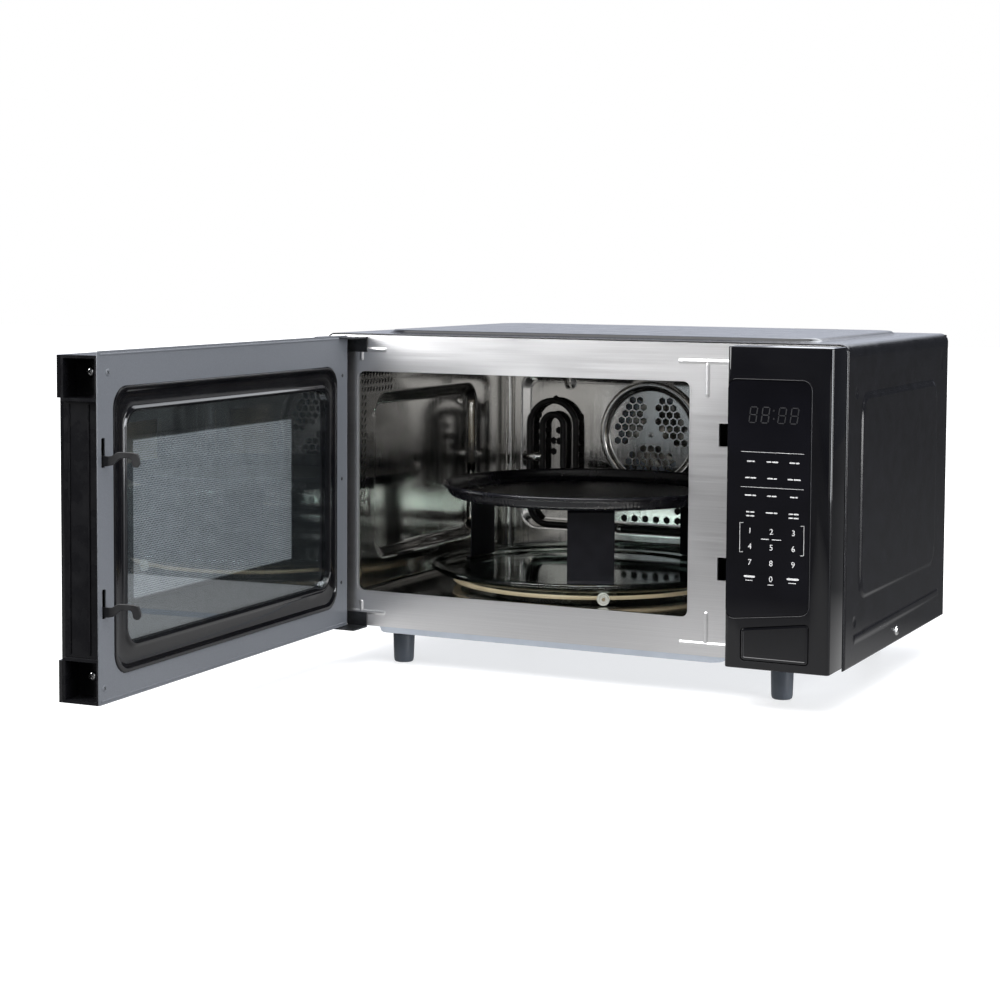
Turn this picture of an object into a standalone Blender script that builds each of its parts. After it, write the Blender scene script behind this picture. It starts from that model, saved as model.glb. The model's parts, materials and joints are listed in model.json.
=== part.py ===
"""Countertop microwave oven with convection and a side-hinged door, standing open.

Metres, +Z up, the front faces -Y. Sizes are given in oven coordinates: X = 0 is the middle of
the case, Y = 0 the front plane of the case and Z = 0 the surface under the feet. Door pieces are
given as they lie with the door shut, and hang on an empty that stands on the hinge axis and
holds the door open. The whole oven hangs on an empty that centres its outer box on the origin.
"""

import math

import bmesh
import bpy
from mathutils import Euler, Matrix, Vector

# ---- case ----
CASE_WIDTH = 0.520
CASE_DEPTH = 0.345
CASE_TOP = 0.319
CASE_BOTTOM = 0.0341
CASE_SHEET = 0.0010
CASE_CORNER = 0.008
PLATEAU_RISE = 0.003
PLATEAU_FRONT = 0.030
PLATEAU_MARGIN_SIDE = 0.040
PLATEAU_MARGIN_REAR = 0.022
PLATEAU_CORNER = 0.030
SIDE_PANEL_FRONT = 0.043
SIDE_PANEL_REAR = 0.304
SIDE_PANEL_BOTTOM = 0.090
SIDE_PANEL_TOP = 0.275
SIDE_PANEL_RISE = 0.0018
SIDE_PANEL_CORNER = 0.020
CASE_SCREW_Y = 0.171
CASE_SCREW_Z = 0.0440
CASE_SCREW_HEAD = 0.0045
CASE_SCREW_RISE = 0.0022
CASE_SCREW_SHANK = 0.0020

# ---- front frame, cavity ----
FRAME_SHEET = 0.0012
OPENING_LEFT = -0.2245
OPENING_RIGHT = 0.1151
OPENING_BOTTOM = 0.0707
OPENING_TOP = 0.2829
OPENING_CORNER = 0.006
LINER_SHEET = 0.0008
LINER_SET_OUT = 0.0010
FLOOR_DROP = 0.0040
CAVITY_DEPTH = 0.331
WALL_RECESS_FRONT = 0.033
WALL_RECESS_REAR = 0.255
WALL_RECESS_BOTTOM = 0.095
WALL_RECESS_TOP = 0.260
WALL_RECESS_DEPTH = 0.007
WALL_RECESS_CORNER = 0.022

# ---- floor pan and feet ----
BASE_PLATE_Z = 0.0355
BASE_SHEET = 0.0010
DISH_BOTTOM = 0.0275
DISH_LEFT = -0.2150
DISH_RIGHT = 0.1450
DISH_FRONT = 0.010
DISH_REAR_GAP = 0.013
DISH_CORNER = 0.016
FOOT_TOP_RADIUS = 0.0105
FOOT_BOTTOM_RADIUS = 0.0095
FOOT_LEFT_X = -0.1885
FOOT_RIGHT_X = 0.1966
FOOT_FRONT_Y = 0.026
FOOT_REAR_GAP = 0.040

# ---- rear cover ----
SPACER_X = 0.2440
SPACER_Z = 0.1410
SPACER_RADIUS = 0.0100
SPACER_LENGTH = 0.0120
CORD_X = 0.2150
CORD_Z = 0.0650
CORD_BUSH_RADIUS = 0.0080
VENT_COUNT = 8
VENT_BOTTOM = 0.1330
VENT_PITCH = 0.0120
VENT_HEIGHT = 0.0050
VENT_LEFT = 0.1500
VENT_RIGHT = 0.2280

# ---- control panel ----
PANEL_LEFT = 0.1652
PANEL_DEPTH = 0.0404
PANEL_BOTTOM = 0.0370
PANEL_TOP = 0.3138
PANEL_ABOVE_DOOR = 0.0034
PANEL_WALL = 0.0025
PANEL_EDGE = 0.0030
FASCIA_RIGHT = 0.2415
FASCIA_TOP = 0.2890
FASCIA_BOTTOM_LEFT = 0.0795
FASCIA_BOTTOM_RIGHT = 0.0875
FASCIA_RECESS = 0.0016
FASCIA_SHEET = 0.0010
FASCIA_CORNER = 0.010
BUTTON_LEFT = 0.1805
BUTTON_RIGHT = 0.2410
BUTTON_BOTTOM = 0.0447
BUTTON_TOP_LEFT = 0.0719
BUTTON_TOP_RIGHT = 0.0795
BUTTON_CORNER = 0.003
BUTTON_CAP = 0.0030
BUTTON_GAP = 0.0006
BUTTON_SPRING_X = 0.2180
SPRING_WIRE = 0.0006
STEM_X = 0.1885
STEM_Z = 0.0580
STEM_HALF = 0.0035
STEM_REACH = 0.0100
STEM_CLEARANCE = 0.0010
ROCKER_PIVOT_Y = 0.0180
ROCKER_PIVOT_Z = 0.0840
ROCKER_LEFT = 0.1500
ROCKER_THICK = 0.0040
ROCKER_POST_Y = 0.0300
ROCKER_POST_TOP = 0.1035
ROCKER_BORE = 0.0021
ROCKER_HUB = 0.0050
BRACKET_LEFT = 0.1290
BRACKET_SHEET = 0.0020
BRACKET_BACK_Y = 0.0560
BRACKET_TOP = 0.2560
BRACKET_BOTTOM = 0.0780
SWITCH_SIZE = (0.0095, 0.0100, 0.0200)
SWITCH_LEVER = 0.0015
SWITCH_CLEARANCE = 0.0008

# ---- door ----
DOOR_REST_ANGLE = 87.6
DOOR_SIDE_INSET = 0.0050
DOOR_PANEL_GAP = 0.0015
DOOR_FRAME_GAP = 0.0025
HINGE_FROM_END = 0.0080
HINGE_FROM_FRAME = 0.0175
HINGE_PIN_RADIUS = 0.0030
HINGE_PIN_CLEARANCE = 0.0004
HINGE_PIN_LENGTH = 0.0150
HINGE_PLATE = 0.0015
HINGE_PLATE_GAP = 0.0006
HINGE_TAB_LEFT = -0.2360
HINGE_TAB_RIGHT = -0.2150
HINGE_TAB_HEIGHT = 0.0145
DOOR_GLASS = 0.0032
SHELL_WALL = 0.0025
INNER_PANEL_SHEET = 0.0010
RING_LEFT = -0.2335
RING_RIGHT = 0.1420
RING_BOTTOM = 0.0570
RING_TOP = 0.2885
RING_CORNER = 0.018
RING_DEPTH = 0.0105
RING_PROUD = 0.0010
WINDOW_LEFT = -0.2185
WINDOW_RIGHT = 0.1230
WINDOW_BOTTOM = 0.0800
WINDOW_TOP = 0.2670
WINDOW_CORNER = 0.015
INNER_GLASS = 0.0030
INNER_GLASS_SET_BACK = 0.0030
SCREEN_SHEET = 0.0008
POCKET_HEIGHT = 0.0340
POCKET_DEPTH = 0.0190
END_NOTCH = 0.0045
END_COVER_SET_BACK = 0.0035
END_COVER_SHEET = 0.0016
DOOR_SCREW_HEAD = 0.0042
DOOR_SCREW_SHANK = 0.0018

# ---- latch ----
HOOK_X = 0.1560
HOOK_SHEET = 0.0022
HOOK_REACH = 0.0345
HOOK_UPPER_Z = 0.2326
HOOK_LOWER_Z = 0.1128
HOOK_HALF = 0.0060
LATCH_TRAVEL = 0.0040
LATCH_SLOT_LEFT = 0.1433
LATCH_SLOT_RIGHT = 0.1630
LATCH_SLOT_HALF = 0.0103
LATCH_SLOT_LIFT = 0.0036
PANEL_SLOT_CLEARANCE = 0.0014

# ---- turntable, tray and crisper pan ----
ROLLER_RADIUS = 0.0060
ROLLER_WIDTH = 0.0050
ROLLER_BORE = 0.0018
ROLLER_PIN = 0.0014
ROLLER_CIRCLE = 0.1405
ROLLER_FIRST_ANGLE = -60.6
RING_BAND = 0.0070
RING_BAND_THICK = 0.0030
TRAY_RADIUS = 0.1575
TRAY_Y = 0.1660
TRAY_HEIGHT = 0.0095
TRAY_GLASS = 0.0035
TRAY_STEP = 0.0020
TRAY_GAP = 0.0004
COUPLER_RADIUS = 0.0200
COUPLER_ARM = 0.0290
SHAFT_RADIUS = 0.0045
SHAFT_HOLE = 0.0075
TURN_MOTOR_RADIUS = 0.0250
PAN_RADIUS = 0.1465
PAN_FLOOR_RADIUS = 0.1330
PAN_RIM_Z = 0.1690
PAN_DEPTH = 0.0135
PAN_SHEET = 0.0012
LEG_COUNT = 3
LEG_RADIUS = 0.1240
LEG_WIDTH = 0.0450
LEG_SHEET = 0.0020
LEG_TOE = 0.0060
LEG_FIRST_ANGLE = -65.4

# ---- convection ----
GRILLE_Z = 0.2045
GRILLE_RADIUS = 0.0590
GRILLE_DISC_RADIUS = 0.0485
GRILLE_RISE = 0.0060
GRILLE_SHEET = 0.0010
GRILLE_HOLE = 0.0048
GRILLE_HOLES = 14
GRILLE_HOLE_CIRCLE = 0.0390
FAN_RADIUS = 0.0440
FAN_BLADES = 8
CONVECTION_BORE = 0.0060
CONVECTION_SHAFT = 0.0030
HOUSING_RADIUS = 0.0700
HOUSING_DEPTH = 0.0200
HOUSING_SHEET = 0.0010
CONVECTION_MOTOR_RADIUS = 0.0240
CONVECTION_MOTOR_LENGTH = 0.0180
REAR_BULGE_CORNER = 0.012
REAR_BULGE_DEPTH = 0.0440
REAR_BULGE_HALF_WIDTH = 0.1050
REAR_BULGE_BOTTOM = 0.1000
REAR_BULGE_TOP = 0.2960
HEATER_TUBE = 0.0033
HEATER_SET_OFF = 0.0080
HEATER_ARCH_X = -0.1668
HEATER_ARCH_Z = 0.2107
HEATER_OUTER = 0.0273
HEATER_INNER = 0.0123
HEATER_RUN_Z = 0.1026
HEATER_RUN_BEND = 0.0220
HEATER_RUN_END = 0.0850
HEATER_UTURN_Z = 0.1450

# ---- electrical compartment ----
WAVEGUIDE_DEPTH = 0.0300
WAVEGUIDE_Y = 0.1950
WAVEGUIDE_WIDTH = 0.0800
WAVEGUIDE_BOTTOM = 0.1450
WAVEGUIDE_TOP = 0.2650
WAVEGUIDE_MOUTH_TOP = 0.2000
WAVEGUIDE_SHEET = 0.0010
MICA_MARGIN = 0.0080
MICA_SHEET = 0.0006
MAGNETRON_SIZE = (0.0800, 0.0900, 0.0800)
MAGNETRON_Z = 0.2150
MAGNETRON_SLOTS = 5
ANTENNA_RADIUS = 0.0090
TRANSFORMER_SIZE = (0.0820, 0.0950, 0.0640)
TRANSFORMER_X = 0.2050
TRANSFORMER_Y = 0.1850
CAPACITOR_SIZE = (0.0350, 0.0550, 0.0900)
LAMP_Y = 0.1000
LAMP_Z = 0.2600
COOLING_X = 0.1920
COOLING_Z = 0.1750
COOLING_RADIUS = 0.0500
COOLING_BLADES = 5
SHROUD_HALF = 0.0580
SHROUD_DEPTH = 0.0260

# ---- shared ----
GAP = 0.0003
ROUND_STEPS = 48
SMALL_STEPS = 20
MERGE = 0.00001

# ---- worked out from the sizes above ----
HALF = CASE_WIDTH / 2
CASE_LEFT = -HALF
FRAME_LEFT = CASE_LEFT + CASE_SHEET + GAP
FRAME_RIGHT = HALF - CASE_SHEET - GAP
FRAME_TOP = CASE_TOP - CASE_SHEET - GAP
FRAME_BOTTOM = BASE_PLATE_Z + BASE_SHEET + GAP
CAVITY_X = (OPENING_LEFT + OPENING_RIGHT) / 2
FLOOR_Z = OPENING_BOTTOM - FLOOR_DROP
TRAY_BOTTOM = FLOOR_Z + 2 * ROLLER_RADIUS + 2 * TRAY_GAP
DOOR_LEFT = CASE_LEFT + DOOR_SIDE_INSET
DOOR_RIGHT = PANEL_LEFT - DOOR_PANEL_GAP
DOOR_OUTER_Y = -PANEL_DEPTH
DOOR_INNER_Y = -DOOR_FRAME_GAP
HINGE_X = DOOR_LEFT + HINGE_FROM_END
HINGE_Y = -HINGE_FROM_FRAME
LINER_RIGHT = OPENING_RIGHT + LINER_SET_OUT + LINER_SHEET
REAR_PLATE_Y = CASE_DEPTH - 2 * CASE_SHEET
LATCH_SLOTS = (HOOK_UPPER_Z + LATCH_SLOT_LIFT, HOOK_LOWER_Z + LATCH_SLOT_LIFT)


def open_box_centre():
    """Middle of the outer box with the door at rest, so that the origin can stand under it."""
    angle = math.radians(DOOR_REST_ANGLE)
    reach = DOOR_RIGHT - HINGE_X
    thick = HINGE_Y - DOOR_OUTER_Y
    tip_x = HINGE_X + reach * math.cos(angle) - thick * math.sin(angle)
    heel_x = HINGE_X - HINGE_FROM_END * math.cos(angle) - thick * math.sin(angle)
    tip_y = HINGE_Y - reach * math.sin(angle) - thick * math.cos(angle)
    left = min(tip_x, heel_x)
    right = HALF + CASE_SCREW_RISE
    return (left + right) / 2, (tip_y + CASE_DEPTH + REAR_BULGE_DEPTH) / 2


# ---- scene, materials and basic shapes ----
def clear_scene():
    for old in list(bpy.data.objects):
        bpy.data.objects.remove(old, do_unlink=True)


def new_collection(name, hidden=False):
    made = bpy.data.collections.new(name)
    made.hide_render = hidden
    bpy.context.scene.collection.children.link(made)
    return made


def material(name, colour, roughness, metallic=0.0, transmission=0.0):
    made = bpy.data.materials.new(name)
    made.use_nodes = True
    shader = made.node_tree.nodes["Principled BSDF"]
    shader.inputs["Base Color"].default_value = (*colour, 1.0)
    shader.inputs["Roughness"].default_value = roughness
    shader.inputs["Metallic"].default_value = metallic
    shader.inputs["Transmission Weight"].default_value = transmission
    made.diffuse_color = (*colour, 1.0)
    return made


def new_object(name, data, centre, finish=None, parent=None):
    """A visible part, or a cutter when it has no finish."""
    made = bpy.data.objects.new(name, data)
    (PARTS if finish else CUTTERS).objects.link(made)
    made.parent = parent or OVEN
    made.location = Vector(centre) - ANCHORS[made.parent.name]
    if finish:
        data.materials.append(MATERIALS[finish])
    else:
        made.hide_render = True
        made.display_type = "WIRE"
    return made


def new_pivot(name, anchor, turn=0.0, parent=None):
    """An empty on a joint's axis. Pieces that hang on it are still placed in oven coordinates."""
    made = bpy.data.objects.new(name, None)
    PARTS.objects.link(made)
    if parent:
        made.parent = parent
        made.location = Vector(anchor) - ANCHORS[parent.name]
    made.rotation_euler = (0, 0, turn)
    ANCHORS[name] = Vector(anchor)
    return made


def block_mesh(name, size, radius=0.0, axis="Y", segments=4, top_only=False):
    """A box whose edges along one axis, or only the upper two of them, are rounded."""
    mesh = bmesh.new()
    bmesh.ops.create_cube(mesh, size=1.0)
    bmesh.ops.scale(mesh, vec=size, verts=mesh.verts)
    if radius:
        along = "XYZ".index(axis)
        edges = [
            edge
            for edge in mesh.edges
            if abs((edge.verts[0].co - edge.verts[1].co)[along]) > MERGE
            and (edge.verts[0].co.z > 0 or not top_only)
        ]
        bmesh.ops.bevel(
            mesh, geom=edges, offset=radius, segments=segments, profile=0.5, affect="EDGES"
        )
    data = bpy.data.meshes.new(name)
    mesh.to_mesh(data)
    mesh.free()
    return data


def block(name, low, high, finish=None, parent=None, **rounding):
    low, high = Vector(low), Vector(high)
    data = block_mesh(name, high - low, **rounding)
    return new_object(name, data, (low + high) / 2, finish, parent)


def cylinder(name, radius, low, high, finish=None, parent=None, top=None, steps=SMALL_STEPS):
    """A round bar or cone between two points that lie on one line along an axis."""
    low, high = Vector(low), Vector(high)
    mesh = bmesh.new()
    bmesh.ops.create_cone(
        mesh,
        cap_ends=True,
        segments=steps,
        radius1=radius,
        radius2=radius if top is None else top,
        depth=(high - low).length,
    )
    data = bpy.data.meshes.new(name)
    mesh.to_mesh(data)
    mesh.free()
    made = new_object(name, data, (low + high) / 2, finish, parent)
    made.rotation_euler = (high - low).to_track_quat("Z", "Y").to_euler()
    shade_round(made)
    return made


def shade_round(made):
    made.data.shade_smooth()
    made.data.set_sharp_from_angle(angle=math.radians(35))


def turned(name, profile, centre, finish=None, parent=None, turn=(0, 0, 0), steps=ROUND_STEPS):
    """A profile of (radius, height) points turned about the local Z axis."""
    mesh = bmesh.new()
    points = [mesh.verts.new((radius, 0, height)) for radius, height in profile]
    closed = profile[0][0] > MERGE
    for first, second in zip(points, points[1:] + points[:1] if closed else points[1:]):
        mesh.edges.new((first, second))
    data = bpy.data.meshes.new(name)
    mesh.to_mesh(data)
    mesh.free()
    made = new_object(name, data, centre, finish, parent)
    made.rotation_euler = Euler(turn)
    screw = made.modifiers.new("turn", "SCREW")
    screw.steps = screw.render_steps = steps
    screw.use_merge_vertices = True
    screw.merge_threshold = MERGE
    screw.use_smooth_shade = True
    return made


def drill(name, places, radius, low_y, high_y, parent=None):
    """One cutter of hexagonal holes through a wall that faces along Y, at (x, z) places."""
    mesh = bmesh.new()
    turn = Matrix.Rotation(math.pi / 2, 4, "X")
    for x, z in places:
        bmesh.ops.create_cone(
            mesh,
            cap_ends=True,
            segments=6,
            radius1=radius,
            radius2=radius,
            depth=high_y - low_y,
            matrix=Matrix.Translation((x, 0, z)) @ turn,
        )
    data = bpy.data.meshes.new(name)
    mesh.to_mesh(data)
    mesh.free()
    return new_object(name, data, (0, (low_y + high_y) / 2, 0), parent=parent)


def outline(name, points, low_y, high_y, finish=None, parent=None, radius=0.0):
    """A flat shape of (x, z) points, thick from low_y to high_y, with its corners rounded."""
    mesh = bmesh.new()
    centre_x = sum(x for x, _ in points) / len(points)
    centre_z = sum(z for _, z in points) / len(points)
    half = (high_y - low_y) / 2
    face = mesh.faces.new([mesh.verts.new((x - centre_x, -half, z - centre_z)) for x, z in points])
    grown = bmesh.ops.extrude_face_region(mesh, geom=[face])
    moved = [item for item in grown["geom"] if isinstance(item, bmesh.types.BMVert)]
    bmesh.ops.translate(mesh, vec=(0, 2 * half, 0), verts=moved)
    if radius:
        edges = [edge for edge in mesh.edges if abs(edge.verts[0].co.y - edge.verts[1].co.y) > MERGE]
        bmesh.ops.bevel(mesh, geom=edges, offset=radius, segments=4, profile=0.5, affect="EDGES")
    bmesh.ops.recalc_face_normals(mesh, faces=mesh.faces)
    data = bpy.data.meshes.new(name)
    mesh.to_mesh(data)
    mesh.free()
    return new_object(name, data, (centre_x, (low_y + high_y) / 2, centre_z), finish, parent)


def side_outline(name, points, low_x, high_x, finish=None, parent=None):
    """A flat shape of (y, z) points, thick from low_x to high_x."""
    mesh = bmesh.new()
    centre_y = sum(y for y, _ in points) / len(points)
    centre_z = sum(z for _, z in points) / len(points)
    half = (high_x - low_x) / 2
    face = mesh.faces.new([mesh.verts.new((-half, y - centre_y, z - centre_z)) for y, z in points])
    grown = bmesh.ops.extrude_face_region(mesh, geom=[face])
    moved = [item for item in grown["geom"] if isinstance(item, bmesh.types.BMVert)]
    bmesh.ops.translate(mesh, vec=(2 * half, 0, 0), verts=moved)
    bmesh.ops.recalc_face_normals(mesh, faces=mesh.faces)
    data = bpy.data.meshes.new(name)
    mesh.to_mesh(data)
    mesh.free()
    return new_object(name, data, ((low_x + high_x) / 2, centre_y, centre_z), finish, parent)


def wire(name, points, radius, finish, parent=None, sides=2):
    """A round wire or tube through points in oven coordinates."""
    anchor = ANCHORS[(parent or OVEN).name]
    curve = bpy.data.curves.new(name, "CURVE")
    curve.dimensions = "3D"
    curve.bevel_depth = radius
    curve.bevel_resolution = sides
    curve.use_fill_caps = True
    spline = curve.splines.new("POLY")
    spline.points.add(len(points) - 1)
    for place, point in zip(spline.points, points):
        place.co = (*(Vector(point) - anchor), 1.0)
    return new_object(name, curve, anchor, finish, parent)


def boolean(target, other, operation):
    change = target.modifiers.new(other.name, "BOOLEAN")
    change.operation = operation
    change.object = other
    change.solver = "EXACT"
    return target


def cut(target, *cutters):
    for cutter in cutters:
        boolean(target, cutter, "DIFFERENCE")
    return target


def join(target, *others):
    for other in others:
        boolean(target, other, "UNION")
    return target


# ---- casing ----
def make_outer_case():
    low = (CASE_LEFT, 0, CASE_BOTTOM)
    high = (HALF, CASE_DEPTH, CASE_TOP)
    case = block("outer_case", low, high, "case_paint", radius=CASE_CORNER, top_only=True)
    plateau = block(
        "case_plateau",
        (CASE_LEFT + PLATEAU_MARGIN_SIDE, PLATEAU_FRONT, CASE_TOP - CASE_SHEET),
        (HALF - PLATEAU_MARGIN_SIDE, CASE_DEPTH - PLATEAU_MARGIN_REAR, CASE_TOP + PLATEAU_RISE),
        radius=PLATEAU_CORNER,
        axis="Z",
    )
    inside = block(
        "case_inside",
        (CASE_LEFT + CASE_SHEET, -CASE_SHEET, CASE_BOTTOM - CASE_SHEET),
        (HALF - CASE_SHEET, CASE_DEPTH + CASE_SHEET, CASE_TOP - CASE_SHEET),
        radius=CASE_CORNER - CASE_SHEET,
        top_only=True,
    )
    screw_hole = cylinder(
        "case_screw_hole",
        CASE_SCREW_SHANK + GAP,
        (HALF - 3 * CASE_SHEET, CASE_SCREW_Y, CASE_SCREW_Z),
        (HALF + CASE_SHEET, CASE_SCREW_Y, CASE_SCREW_Z),
    )
    join(case, plateau)
    cut(case, inside, screw_hole)
    for side, way in (("left", -1), ("right", 1)):
        face = way * HALF
        low = Vector((0, SIDE_PANEL_FRONT, SIDE_PANEL_BOTTOM))
        high = Vector((0, SIDE_PANEL_REAR, SIDE_PANEL_TOP))
        skin = Vector((0, CASE_SHEET, CASE_SHEET))
        outside = face + way * SIDE_PANEL_RISE
        root = face - way * CASE_SHEET / 2
        raised = block(
            f"side_panel_{side}",
            low + Vector((min(root, outside), 0, 0)),
            high + Vector((max(root, outside), 0, 0)),
            radius=SIDE_PANEL_CORNER,
            axis="X",
        )
        ceiling = outside - way * CASE_SHEET
        behind = face - 2 * way * CASE_SHEET
        hollow = block(
            f"side_hollow_{side}",
            low + skin + Vector((min(ceiling, behind), 0, 0)),
            high - skin + Vector((max(ceiling, behind), 0, 0)),
            radius=SIDE_PANEL_CORNER - CASE_SHEET,
            axis="X",
        )
        join(case, raised)
        cut(case, hollow)


def make_case_screw():
    turned(
        "case_screw",
        [
            (0, CASE_SCREW_RISE),
            (CASE_SCREW_HEAD * 0.7, CASE_SCREW_RISE * 0.85),
            (CASE_SCREW_HEAD, GAP),
            (CASE_SCREW_SHANK, GAP),
            (CASE_SCREW_SHANK, -0.0080),
            (0, -0.0080),
        ],
        (HALF, CASE_SCREW_Y, CASE_SCREW_Z),
        "screw_steel",
        turn=(0, math.pi / 2, 0),
        steps=SMALL_STEPS,
    )


def make_front_frame():
    frame = block(
        "front_frame",
        (FRAME_LEFT, 0, FRAME_BOTTOM),
        (FRAME_RIGHT, FRAME_SHEET, FRAME_TOP),
        "frame_steel",
        radius=CASE_CORNER - CASE_SHEET,
        top_only=True,
    )
    opening = block(
        "frame_opening",
        (OPENING_LEFT, -FRAME_SHEET, OPENING_BOTTOM),
        (OPENING_RIGHT, 2 * FRAME_SHEET, OPENING_TOP),
        radius=OPENING_CORNER,
    )
    cut(frame, opening)
    for index, centre_z in enumerate(LATCH_SLOTS):
        slot = block(
            f"frame_slot_{index}",
            (LATCH_SLOT_LEFT, -FRAME_SHEET, centre_z - LATCH_SLOT_HALF),
            (LATCH_SLOT_RIGHT, 2 * FRAME_SHEET, centre_z + LATCH_SLOT_HALF),
        )
        cut(frame, slot)
    stem_hole = block(
        "frame_stem_hole",
        (STEM_X - STEM_HALF - STEM_CLEARANCE, -FRAME_SHEET, STEM_Z - STEM_HALF - STEM_CLEARANCE),
        (STEM_X + STEM_HALF + STEM_CLEARANCE, 2 * FRAME_SHEET, STEM_Z + STEM_HALF + STEM_CLEARANCE),
    )
    cut(frame, stem_hole)


def make_cavity_liner():
    front = FRAME_SHEET + GAP
    low = Vector((OPENING_LEFT - LINER_SET_OUT, front, FLOOR_Z))
    high = Vector((OPENING_RIGHT + LINER_SET_OUT, CAVITY_DEPTH, OPENING_TOP + LINER_SET_OUT))
    skin = Vector((LINER_SHEET, LINER_SHEET, LINER_SHEET))
    liner = block(
        "cavity_liner",
        low - Vector((LINER_SHEET, 0, LINER_SHEET)),
        high + skin,
        "cavity_steel",
        radius=OPENING_CORNER + LINER_SHEET,
    )
    inside = block("liner_inside", low - Vector((0, front, 0)), high, radius=OPENING_CORNER)
    fan_mouth = cylinder(
        "liner_fan_mouth",
        GRILLE_DISC_RADIUS,
        (CAVITY_X, CAVITY_DEPTH - LINER_SHEET, GRILLE_Z),
        (CAVITY_X, CAVITY_DEPTH + 2 * LINER_SHEET, GRILLE_Z),
        steps=ROUND_STEPS,
    )
    shaft_hole = cylinder(
        "liner_shaft_hole",
        SHAFT_HOLE,
        (CAVITY_X, TRAY_Y, FLOOR_Z - 2 * LINER_SHEET),
        (CAVITY_X, TRAY_Y, FLOOR_Z + LINER_SHEET),
    )
    feed = block(
        "liner_feed",
        (
            OPENING_RIGHT,
            WAVEGUIDE_Y - WAVEGUIDE_WIDTH / 2 + WAVEGUIDE_SHEET,
            WAVEGUIDE_BOTTOM + WAVEGUIDE_SHEET,
        ),
        (
            LINER_RIGHT + LINER_SHEET,
            WAVEGUIDE_Y + WAVEGUIDE_WIDTH / 2 - WAVEGUIDE_SHEET,
            WAVEGUIDE_MOUTH_TOP,
        ),
    )
    recess_low = Vector((low.x - WALL_RECESS_DEPTH, WALL_RECESS_FRONT, WALL_RECESS_BOTTOM))
    recess_high = Vector((low.x + LINER_SHEET, WALL_RECESS_REAR, WALL_RECESS_TOP))
    recess_back = block(
        "liner_recess_back",
        recess_low - skin,
        recess_high + Vector((-LINER_SHEET - GAP, LINER_SHEET, LINER_SHEET)),
        radius=WALL_RECESS_CORNER,
        axis="X",
    )
    recess = block("liner_recess", recess_low, recess_high, radius=WALL_RECESS_CORNER, axis="X")
    join(liner, recess_back)
    cut(liner, inside, recess, fan_mouth, shaft_hole, feed)
    for index, (x, z) in enumerate(heater_ends()):
        hole = cylinder(
            f"liner_heater_hole_{index}",
            HEATER_TUBE + 2 * GAP,
            (x, CAVITY_DEPTH - LINER_SHEET, z),
            (x, CAVITY_DEPTH + 2 * LINER_SHEET, z),
        )
        cut(liner, hole)


def make_base_pan():
    rear = CASE_DEPTH - 2 * CASE_SHEET - GAP
    base = block(
        "base_pan",
        (FRAME_LEFT, FRAME_SHEET + GAP, BASE_PLATE_Z),
        (FRAME_RIGHT, rear - CASE_SHEET, BASE_PLATE_Z + BASE_SHEET),
        "galvanised",
    )
    dish_low = Vector((DISH_LEFT, DISH_FRONT, DISH_BOTTOM))
    dish_high = Vector((DISH_RIGHT, CASE_DEPTH - DISH_REAR_GAP, BASE_PLATE_Z + BASE_SHEET / 2))
    dish = block("base_dish", dish_low, dish_high, radius=DISH_CORNER, axis="Z")
    wall = Vector((BASE_SHEET, BASE_SHEET, BASE_SHEET))
    hollow_low = dish_low + wall
    hollow_high = dish_high - wall
    hollow_high.z = BASE_PLATE_Z + 2 * BASE_SHEET
    hollow = block("base_hollow", hollow_low, hollow_high, radius=DISH_CORNER - BASE_SHEET, axis="Z")
    join(base, dish)
    cut(base, hollow)


def make_feet():
    rear_y = CASE_DEPTH - FOOT_REAR_GAP
    places = {
        "foot_front_left": (FOOT_LEFT_X, FOOT_FRONT_Y, DISH_BOTTOM),
        "foot_front_right": (FOOT_RIGHT_X, FOOT_FRONT_Y, BASE_PLATE_Z),
        "foot_rear_left": (FOOT_LEFT_X, rear_y, DISH_BOTTOM),
        "foot_rear_right": (FOOT_RIGHT_X, rear_y, BASE_PLATE_Z),
    }
    for name, (x, y, top) in places.items():
        cylinder(
            name,
            FOOT_BOTTOM_RADIUS,
            (x, y, 0),
            (x, y, top - GAP),
            "foot_plastic",
            top=FOOT_TOP_RADIUS,
            steps=24,
        )


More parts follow.
